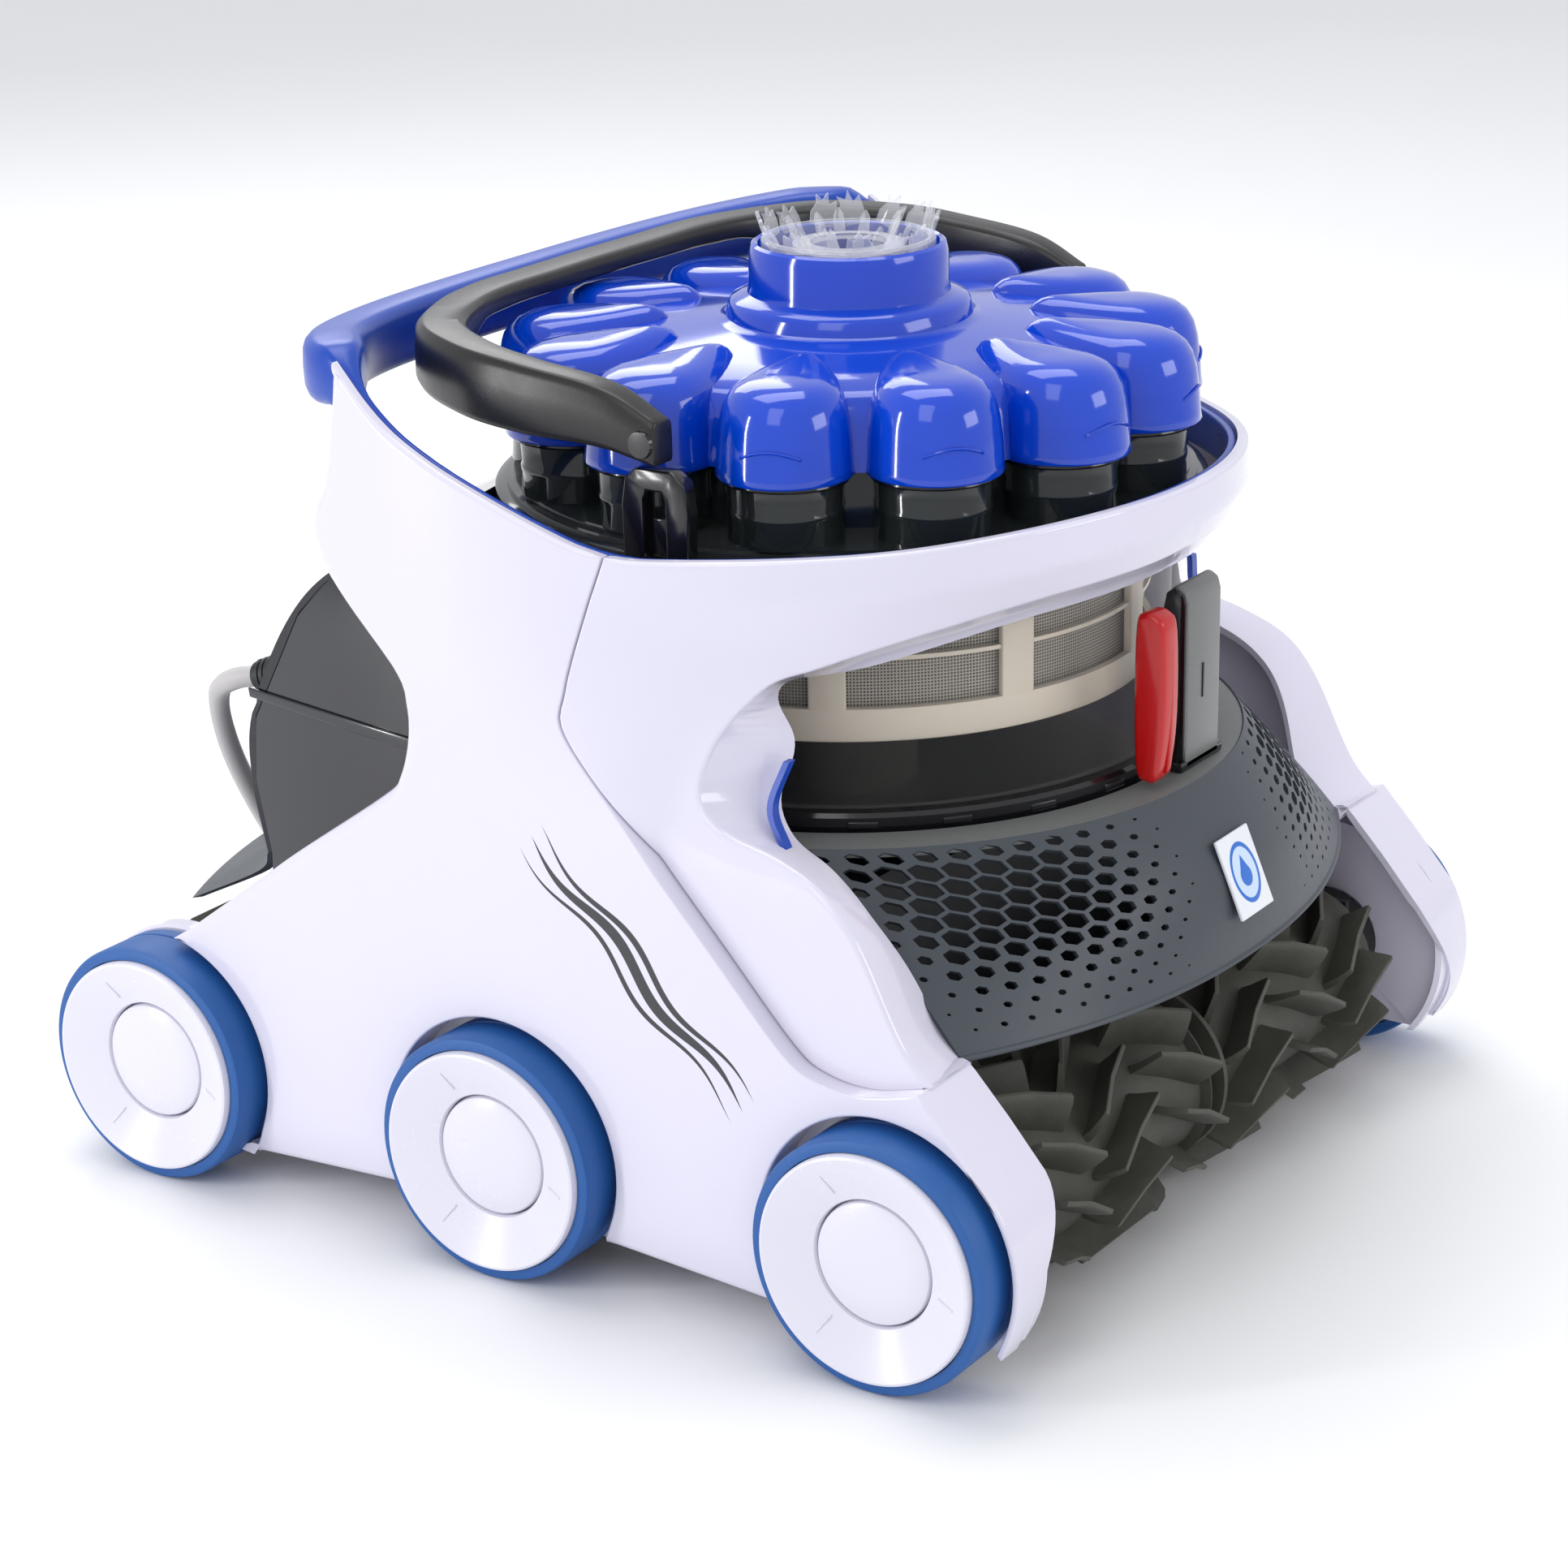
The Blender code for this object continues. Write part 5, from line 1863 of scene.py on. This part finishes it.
@dataclass
class Fittings:
    """Badge, latch bracket and release lever."""

    bracket: tuple[Pair, ...] = ((-164, 154.6), (-157, 154.6), (-157, 164), (-155.5, 169), (-155.5, 212),
                                 (-156.5, 217), (-159.5, 219), (-163, 217), (-164, 213))
    lever: tuple[Pair, ...] = ((-166, 160), (-161, 157.8), (-157.8, 162), (-157, 185), (-157.4, 211),
                               (-160, 215.6), (-165, 215), (-168, 209), (-168.4, 180))

    def build(self) -> None:
        """Make the three of them."""
        plate = Shop.prism("badge", ((-11, -14), (11, -14), (11, 14), (-11, 14)), -1.4, 0, BADGE, 0.5, "XZ")
        turn = Matrix.Translation(BadgeFinish.centre) @ Matrix.Rotation(math.radians(BadgeFinish.lean), 4,
                                                                        "X")
        plate.data.transform(turn)
        Shop.publish(plate, Body.MACHINE, "white_gloss", "badge_plate")
        hook = Shop.prism("hook_body", self.bracket, 4, 28, HOOK_GREY, 1.4)
        dark = Shop.prism("hook_side", [(y * 0.985 - 2.2, z * 0.985 + 2.6) for y, z in self.bracket], 2.9,
                          4.4, BLACK, 0.5)
        foot = Shop.prism("hook_foot", ((-164, 154.6), (-156.5, 154.6), (-156.5, 158), (-164, 158)), 1.5,
                          30.5, BLACK, 0.6)
        groove = Shop.prism("hook_mark", ((-164.5, 178), (-163.8, 178), (-163.8, 190), (-164.5, 190)), 14.6,
                            15.6, BLACK, 0.15)
        Shop.publish(Shop.join("latch_hook", [hook, dark, foot, groove]), Body.MACHINE, "grey_satin",
                     "latch_bracket")
        outline = [(p.x, p.y) for p in catmull(self.lever, 4, closed=True)]
        grip = Shop.prism("lever_grip", outline, -20.5, -9.5, RED, 2.4)
        rib = Shop.prism("lever_rib", [(y * 0.35 - 109.6, z * 0.82 + 31) for y, z in outline], -15.2, -12.8,
                         RED, 0.5)
        Shop.publish(Shop.join("red_lever", [grip, rib]), Body.LEVER, "red_gloss", "release_lever")


# --- canister

@dataclass
class Canister:
    """Lift-out canister: base, clear wall, basket, cyclones and petalled cover."""

    petals: int = 13
    segments: int = 128
    centre: Pair = (0.0, -35.0)
    petal_r: float = 99.0
    petal_half: float = 22.2
    cover_low: float = 268.0

    def turned(self, name: str, profile: Sequence[Pair], finish: Finish) -> Piece:
        """Turn a profile about the canister's axis."""
        return Shop.turned(name, profile, finish, self.centre, segments=self.segments)

    def spoke(self, turn: float, radius: float = 0.0, z: float = 0.0) -> Matrix:
        """Place at an angle in degrees round the axis, facing outwards."""
        return (Matrix.Translation((0, self.centre[1] * MM, z * MM)) @ Matrix.Rotation(math.radians(turn), 4,
                                                                                       "Z")
                @ Matrix.Translation((radius * MM, 0, 0)))

    def petal(self) -> Piece:
        """One petal, reaching along +X from the axis, with its raised arc.

        Returns:
            The petal.
        """
        layers = ((0.0, 1.0, 0.0), (0.8, 1.02, 0.0), (3.0, 1.0, 0.0), (11, 0.98, 0.2), (17.5, 0.945, 0.5),
                  (22.5, 0.89, 1.2), (26, 0.81, 2.4), (28.4, 0.70, 4.4), (29.8, 0.56, 7.6), (30.5, 0.38, 12),
                  (30.7, 0.18, 17))
        rings = []
        for rise, share, back in layers:
            ring = []
            for k in range(36):
                a = math.tau * k / 36
                c, s = math.cos(a), math.sin(a)
                r = self.petal_half * share
                if c >= 0:
                    x, y = self.petal_r + r * c * 1.04 - back * 0.35, r * s
                else:
                    reach = 42 * (0.35 + 0.65 * share)
                    x = self.petal_r + reach * c - back * 0.35
                    y = r * s * (1 - 0.42 * abs(c) ** 1.3)
                ring.append((x, y, self.cover_low + rise + 1.6 * max(-c, 0) * (rise / 30)))
            rings.append(ring)
        body = Shop.loft("petal", rings, BLUE, angle=60)
        arch = []
        for k in range(15):
            a = math.radians(-27 + 54 * k / 14)
            z = self.cover_low + 9.5 + 2.6 * math.cos(math.radians(-90 + 180 * k / 14))
            r = self.petal_half * 0.985 + 0.1
            x, y = self.petal_r + r * math.cos(a) * 1.04, r * math.sin(a)
            arch.append([(x + 0.45 * math.cos(b), y, z + 0.5 * math.sin(b))
                         for b in (0, math.pi / 2, math.pi, 1.5 * math.pi)])
        return Shop.join("petal", [body, Shop.loft("arc", arch, BLUE)])

    def cover(self) -> None:
        """Disc, collar and the ring of petals."""
        hub = self.turned("cover_disc", ((99, 268), (100.5, 268.5), (98, 283), (94.5, 290), (90, 292.6),
                                         (70, 295.4), (46, 297.2), (43, 297.6), (42, 298.4), (41.2, 302.6),
                                         (40, 304.2), (37, 305.2), (34.6, 306.2), (34.2, 308), (33.8, 319.6),
                                         (33, 322.2), (31.8, 323), (30.8, 322.4), (30.4, 319), (30.2, 292),
                                         (80, 288), (92, 280), (96, 268)),
                          BLUE)
        ring = Repeater("cover_petals", self.petal(), BLUE)
        for k in range(self.petals):
            ring.add(self.spoke(-90 + 360 * (k + 0.5) / self.petals))
        cover = Shop.join("cyclone_cover_petals", [hub, ring.build(angle=60)])
        Shop.publish(cover, Body.CANISTER, "blue_gloss", "cyclone_cover")

    def crown(self) -> None:
        """Clear jagged outlet guard in the collar."""
        sleeve = self.turned("crown_sleeve", ((26.8, 309), (29.6, 309), (29.6, 323.6), (28.6, 324.4),
                                              (27.4, 324.4), (26.8, 323.6)), ICE)
        fin = Shop.prism("fin", ((-4.2, 0), (4.2, 0), (4.8, 4.5), (3.4, 8.2), (4.3, 11.4), (1.4, 9.6),
                                 (0.2, 13.0), (-1.2, 8.4), (-3.6, 10.6), (-4.4, 5)), -0.6, 0.6, ICE, 0.25)
        fins = Repeater("crown_fins", fin, ICE)
        rng = np.random.default_rng(7)
        for k in range(15):
            tilt = Matrix.Rotation(math.radians(10 + 18 * rng.random()), 4, "Y")
            roll = Matrix.Rotation(math.radians(rng.uniform(-26, 26)), 4, "X")
            grow = float(rng.uniform(0.6, 0.98))
            fins.add(self.spoke(24 * k + 5, 27.2, 322.4) @ tilt @ roll, (1, 1, grow))
        inner = Shop.prism("inner_fin", ((-2, 0), (2, 0), (1.6, 6), (0, 8.4), (-1.6, 6)), -0.6, 0.6, ICE,
                           0.25)
        core = Repeater("crown_core", inner, ICE)
        for k in range(12):
            core.add(self.spoke(30 * k + 12, 14 + 5 * (k % 2), 322) @ Matrix.Rotation(0.4, 4, "Y"))
        ring = self.turned("crown_ring", ((13, 320.4), (19, 320.4), (19, 322), (13, 322.4)), ICE)
        Shop.publish(Shop.join("outlet_crown", [sleeve, fins.build(), core.build(), ring]), Body.CANISTER,
                     "clear", "outlet_guard")

    def cyclones(self) -> None:
        """Smoked block with a column under each petal and stacked ring plates."""
        block = self.turned("cyclone_drum", ((32, 238.5), (121, 238.5), (122.4, 239.4), (122.4, 242.6),
                                             (121.4, 243.4), (118.5, 243.6), (118.5, 245.6), (116, 246.2),
                                             (116, 247.4), (92, 248), (90, 267), (82, 267), (82, 246),
                                             (32, 246)), SMOKE)
        column = Shop.turned("column", ((0, 0), (18.6, 0), (18.9, 0.8), (18.4, 8), (18.8, 9), (18.8, 10.4),
                                        (18.3, 11.2), (18.9, 20.8), (0, 20.8)), SMOKE, segments=40)
        columns = Repeater("cyclone_columns", column, SMOKE)
        caps = Repeater("column_collars", Shop.turned("collar", ((17.2, 0), (20.6, 0), (20.9, 0.6),
                                                                 (20.6, 1.6), (17.2, 1.6)), BLACK,
                                                                 segments=40),
                        BLACK)
        for k in range(self.petals):
            columns.add(self.spoke(-90 + 360 * (k + 0.5) / self.petals, self.petal_r, 246.8))
            caps.add(self.spoke(-90 + 360 * (k + 0.5) / self.petals, self.petal_r, 266.2))
        whole = Shop.join("cyclone_stack", [block, columns.build(), caps.build()])
        Shop.publish(whole, Body.CANISTER, "smoke", "cyclone_block")

    def lower(self) -> None:
        """Base, wall, seal and basket."""
        base = self.turned("base", ((22, 150.6), (116.5, 150.6), (118.4, 151.8), (119, 154), (119, 158.6),
                                    (118, 160), (114.6, 160.2), (114.2, 158.8), (109.4, 158.8), (109, 156.4),
                                    (60, 155.4), (22, 156)), BLACK)
        notch = Repeater("base_notches", Shop.prism("tab", ((-5, -1.4), (5, -1.4), (5, 1.4), (-5, 1.4)),
                                                    -0.9, 0.9, BLACK, 0.5), BLACK)
        for k in range(24):
            notch.add(self.spoke(15 * k + 4, 118.4, 156))
        Shop.publish(Shop.join("canister_base_ring", [base, notch.build()]), Body.CANISTER, "black_gloss",
                     "canister_base")
        wall = self.turned("clear_wall", ((111, 160.3), (114.2, 160.3), (114.6, 162), (114, 164),
                                          (113.2, 200), (113, 234.5), (113.9, 236.5), (110.4, 236.5),
                                          (110.2, 200), (111, 164)), CLEAR)
        Shop.publish(wall, Body.CANISTER, "clear", "canister_wall")
        seal = self.turned("wall_seal_ring", ((108, 236.9), (113.6, 236.9), (114, 237.5), (113.6, 238.1),
                                              (108, 238.1)), DARK_RUBBER)
        Shop.publish(seal, Body.CANISTER, "black_rubber", "wall_seal")
        self.basket()

    def basket(self) -> None:
        """Cream basket: floor, rings and posts, with a woven screen behind."""
        floor = self.turned("basket_floor", ((0, 180.4), (18, 180.4), (18.5, 158.6), (22, 158.6), (22, 178),
                                             (60, 178.6), (101.5, 178.5), (103.4, 179.4), (104, 181),
                                             (104, 190.5), (101.5, 190.5), (101.2, 182.4), (0, 182.4)), CREAM)
        top = self.turned("basket_top", ((101, 224), (104, 224), (104, 231.6), (103.4, 232), (101, 232)),
                          CREAM)
        band = self.turned("basket_band", ((101.6, 206.6), (103.2, 206.6), (103.2, 208), (101.6, 208)), CREAM)
        posts = Repeater("basket_posts", Shop.prism("post", ((-6.2, 0), (6.2, 0), (6.2, 35), (-6.2, 35)),
                                                    -1.4, 1.4, CREAM, 0.6), CREAM)
        for k in range(10):
            posts.add(self.spoke(36 * k - 90 + 10, 102.5, 189.6))
        Shop.publish(Shop.join("basket_frame", [floor, top, band, posts.build()]), Body.CANISTER, "cream",
                     "filter_basket")
        screen = self.turned("basket_screen", ((99.4, 184), (100.4, 184), (100.4, 230), (99.4, 230)), SCREEN)
        Shop.publish(screen, Body.CANISTER, "cream", "filter_mesh")

    def lug(self, side: Side) -> None:
        """Slotted black lug that holds one end of the bail.

        Args:
            side: the side it is on.
        """
        sign = side.value
        frame_ring = [(-58, 238.6), (-34, 238.6), (-33.4, 262), (-35, 271), (-39, 274.4), (-53, 274.4),
                      (-57.4, 271), (-58.6, 262)]
        slot_ring = [(-50.4, 244.6), (-41.6, 244.6), (-41.6, 256), (-41.6, 264.5), (-43, 267.4), (-49, 267.4),
                     (-50.4, 264.5), (-50.4, 256)]
        x0, x1 = 124.9 * sign, 131.4 * sign
        rings = [[(x0, *p) for p in frame_ring], [(x1, *p) for p in frame_ring],
                 [(x1, *p) for p in slot_ring], [(x0, *p) for p in slot_ring]]
        lug = Shop.rounded(Shop.loft(f"bail_lug_{side.label}", rings, BLACK, closed=True, angle=30), 0.7)
        tongue = Shop.prism("tongue", ((-48.6, 246), (-43.4, 246), (-43.4, 258), (-48.6, 258)), 126.4 * sign,
                            128.4 * sign, BLACK, 0.5)
        Shop.publish(Shop.join(f"bail_lug_{side.label}", [lug, tongue]), Body.CANISTER, "black_gloss",
                     f"handle_lug_{side.label}")

    def build(self) -> None:
        """Make the whole canister."""
        self.lower()
        self.cyclones()
        self.cover()
        self.crown()
        for side in Side:
            self.lug(side)


@dataclass
class Bail:
    """Flat-topped bail that lies back over the cover."""

    path: tuple[Point, ...] = ((131.5, -50.5, 291, 14, 11), (131.5, -30, 300, 19, 14), (132, 0, 304, 22, 15),
                               (128.5, 25, 306.5, 22, 17), (113, 51, 308, 20, 18), (85, 66, 308, 9, 17),
                               (60, 72, 308, 7.5, 17), (30, 74, 307.5, 7, 17), (0, 74.5, 307.5, 7, 17))

    def build(self) -> None:
        """Loft the bail with bevelled upper edges."""
        half = self.path
        whole = list(half) + [(-p[0], *p[1:]) for p in half[-2::-1]]
        plan = catmull([p[:2] for p in whole], 8)
        rest = catmull([p[2:] for p in whole], 8)
        rings = []
        for k, (spot, (top, tall, wide)) in enumerate(zip(plan, rest)):
            ahead = plan[min(k + 1, len(plan) - 1)] - plan[max(k - 1, 0)]
            across = Vector((ahead.y, -ahead.x)).normalized() * wide / 2
            ring = []
            for u, v in ((0.86, 1.0), (1.0, 0.88), (1.0, 0.42), (0.93, 0.14), (0.66, 0.0), (-0.66, 0.0),
                         (-0.94, 0.1), (-1.0, 0.4), (-1.0, 0.88), (-0.86, 1.0)):
                p = spot + across * u
                ring.append((p.x, p.y, top - tall * v))
            rings.append(ring)
        bail = Shop.loft("lifting_bail", rings, BAIL_BLACK, angle=38)
        Shop.rounded(bail, 0.8, 2)
        caps = []
        for side in Side:
            disc = Shop.turned("pivot", ((0, 137.0 * side.value), (4.6, 137.0 * side.value),
                                         (4.2, 138.2 * side.value), (0, 138.4 * side.value)), BLACK,
                                         (-46, 284), True, 32)
            caps.append(disc)
        Shop.publish(Shop.join("lifting_bail", [bail] + caps), Body.BAIL, "black_gloss", "canister_handle")


# --- running gear

@dataclass
class Wheel:
    """One wheel: tyre, dished hub and round cap."""

    side: Side
    row: Row

    @property
    def body(self) -> str:
        """Name of the body that the wheel turns with."""
        return f"wheel_{self.row.label}_{self.side.label}"

    def turned(self, name: str, profile: Sequence[Pair], finish: Finish, segments: int = 96) -> Piece:
        """Turn a (radius, distance from the middle) profile about the axle."""
        sign = self.side.value
        return Shop.turned(name, [(r, x * sign) for r, x in profile], finish, (self.row.value, WHEEL_Z),
                           True, segments)

    def around(self, turn: float, radius: float, x: float) -> Matrix:
        """Place at an angle in degrees round the axle, +Z pointing outwards from it."""
        spin = Matrix.Rotation(math.radians(turn), 4, "X")
        return (Matrix.Translation((x * self.side.value * MM, self.row.value * MM, WHEEL_Z * MM)) @ spin
                @ Matrix.Translation((0, 0, radius * MM)))

    def build(self) -> None:
        """Make the three pieces."""
        tail = f"{self.row.label}_{self.side.label}"
        tyre = self.turned("tread", ((39, 153), (42.2, 153), (43, 154), (43, 158.4), (42.4, 158.8),
                                     (42.4, 159.4), (43, 159.8), (43, 173.6), (42.4, 175), (41.4, 175.5),
                                     (39, 175.5)), TYRE_BLUE)
        ribs = Repeater("tread_ribs", Shop.prism("rib", ((-0.5, -0.45), (0.5, -0.45), (0.5, 0.2),
                                                         (-0.5, 0.2)), -2.2,
                                                 2.2, TYRE_BLUE, 0.15), TYRE_BLUE)
        for k in range(72):
            ribs.add(self.around(5 * k, 42.75, 156.2))
        Shop.publish(Shop.join(f"blue_tyre_{tail}", [tyre, ribs.build()]), self.body, "blue_tyre",
                     f"tyre_{tail}")
        hub = self.turned("hub", ((0, 165.5), (21.5, 165.5), (21.5, 170.4), (21.9, 171.2), (36.2, 177.5),
                                  (37.4, 177.9), (38.2, 177.6), (38.6, 176.6), (38.6, 154.2), (8, 158),
                                  (8, 147.5), (16.4, 147.5), (17, 147), (17, 139), (16.4, 138.5), (8, 138.5),
                                  (8, 127), (0, 127)), HUB_WHITE)
        tick = Repeater("hub_ticks", Shop.prism("tick", ((-0.55, 0), (0.55, 0), (0.35, 7.5), (-0.35, 7.5)),
                                                -0.3, 0.3, HUB_WHITE, 0.15), HUB_WHITE)
        slope = math.atan2(6.3, 14.3) * self.side.value
        for turn in (100, 215, 330):
            tick.add(self.around(turn, 25.5, 172.8) @ Matrix.Rotation(slope, 4,
                                                                      "Y") @ Matrix.Rotation(math.pi / 2, 4,
                                                                                             "Z"))
        Shop.publish(Shop.join(f"hub_cover_{tail}", [hub, tick.build()]), self.body, "white_gloss",
                     f"hub_{tail}")
        cap = self.turned(f"hub_cap_{tail}", ((0, 172.2), (12, 172.1), (19.2, 171.5), (20.4, 170.9),
                                              (20.8, 169.8), (20.9, 166), (0, 166)), HUB_WHITE)
        Shop.publish(cap, self.body, "white_gloss", f"cap_{tail}")


@dataclass
class BrushHalf:
    """Bladed rubber sleeve on one half of a roller."""

    side: Side
    row: Row
    sleeve_r: float = 27.5
    blade_r: float = 42.0
    start: float = 4.5
    end: float = 125.0
    bands: int = 3
    count: int = 12
    slant: float = 27.0

    def blade(self) -> Piece:
        """One paddle, standing on the sleeve along +Z and long in X.

        Returns:
            The paddle.
        """
        high = self.blade_r - self.sleeve_r + 1.2
        rings = []
        for rise, thick, length, sweep in ((0.0, 3.0, 18.0, 0.0), (0.35, 2.4, 17.8, 0.8),
                                           (0.8, 2.0, 17.2, 2.6), (0.98, 1.8, 16.6, 3.4),
                                           (1.0, 1.2, 16.0, 3.5)):
            z = -1.2 + high * rise
            ring = []
            for x, y in ((-1, -1), (0, -1), (1, -1), (1, 1), (0, 1), (-1, 1)):
                ring.append((x * length, y * thick / 2 + sweep - 1.4 * x * x * rise, z))
            rings.append(ring)
        return Shop.loft("blade", rings, BRUSH, angle=35)

    def build(self) -> None:
        """Make the sleeve, its blades and its laced seam."""
        sign, tail = self.side.value, f"{self.row.label}_{self.side.label}"
        wheel = Wheel(self.side, self.row)
        r = self.sleeve_r
        sleeve = wheel.turned("sleeve", ((24.5, self.start), (r + 3.5, self.start), (r + 4, self.start + 1.5),
                                         (r + 0.4, self.start + 3), (r, self.start + 5), (r, self.end - 3),
                                         (r + 1.2, self.end - 1.5), (r + 1, self.end), (24.5, self.end)),
                                         BRUSH, 64)
        blades = Repeater("brush_blades", self.blade(), BRUSH)
        width = (self.end - self.start) / self.bands
        rng = np.random.default_rng(abs(int(7 * self.row.value + sign)))
        for band in range(self.bands):
            x = self.start + width * (band + 0.5)
            way = (1 if band % 2 == 0 else -1) * sign
            for k in range(self.count):
                turn = 360 * (k + 0.5 * (band % 2)) / self.count + float(rng.uniform(-1.2, 1.2))
                lean_by = Matrix.Rotation(math.radians(self.slant * way), 4, "Z")
                blades.add(wheel.around(turn, r, x) @ lean_by, (1, 1, 0.86))
        tab = Shop.prism("tab", ((-1.9, -0.6), (1.9, -0.6), (1.9, 2.0), (-1.9, 2.0)), -3.2, 3.2, DARK_RUBBER,
                         0.4)
        seam = Repeater("seam_tabs", tab, DARK_RUBBER)
        for k in range(12):
            share = (k + 0.5) / 12
            x = self.start + 6 + (self.end - self.start - 12) * share
            kink = 2.4 if k % 2 else -2.4
            seam.add(wheel.around(-38 + 30 * share * sign + kink, r + 0.4, x))
        whole = Shop.join(f"brush_{tail}", [sleeve, blades.build(), seam.build()])
        Shop.publish(whole, wheel.body, "grey_rubber", f"brush_sleeve_{tail}")
        # The roller core takes the near-black inner grey, which is darkened as painted shade.
        dress(f"roller_core_{tail}", SHADE_DARK_GREY)


@dataclass
class Underside:
    """Carried inner pieces, and the screws of the bottom plate."""

    # The near-black inner grey on these nodes is painted shade inside the machine.
    finishes: tuple[tuple[str, Finish], ...] = (
        ("chassis", SHADE_DARK_GREY), ("base_plate", SHADE_DARK_GREY), ("intake_duct", SHADE_DARK_GREY),
        ("intake_flap", DARK_RUBBER), ("motor_pod", BLACK), ("pump_impeller", BLACK),
        ("drive_belt_left", DARK_RUBBER), ("drive_belt_right", DARK_RUBBER),
        ("drive_pulley_left", SHADE_DARK_GREY), ("drive_pulley_right", SHADE_DARK_GREY))

    def build(self) -> None:
        """Dress the carried nodes and set the screws."""
        for node, finish in self.finishes:
            dress(node, finish)
        low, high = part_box("base_plate")
        head = Shop.turned("screw", ((0, -0.9), (1.1, -0.9), (1.3, -1.5), (3.0, -1.4), (3.6, -0.6),
                                     (3.6, 0.4), (0, 0.4)),
                           STEEL, segments=12)
        screws = Repeater("plate_screws", head, STEEL)
        for x in (low.x + 0.008, low.x / 3, high.x / 3, high.x - 0.008):
            for y in (low.y + 0.008, high.y - 0.008):
                screws.add(Matrix.Translation((x, y, low.z)))
        Shop.publish(screws.build(), Body.MACHINE, "grey_satin")


def main() -> None:
    """Build the studio and then every sub-assembly in order."""
    logging.basicConfig(level=logging.INFO, format="%(message)s")
    for old in [o for o in bpy.data.objects if o.type in {"CAMERA", "LIGHT"}]:
        bpy.data.objects.remove(old, do_unlink=True)
    Studio().build()
    FloatingCord().build()
    for side in Side:
        SidePanel(side).build()
    FrontFrame().build()
    CarryLoop().build()
    RearCover().build()
    Grille().build()
    Fittings().build()
    Canister().build()
    Bail().build()
    for side in Side:
        for row in Row:
            Wheel(side, row).build()
            if row is not Row.MIDDLE:
                BrushHalf(side, row).build()
    Underside().build()


if __name__ == "__main__":
    main()
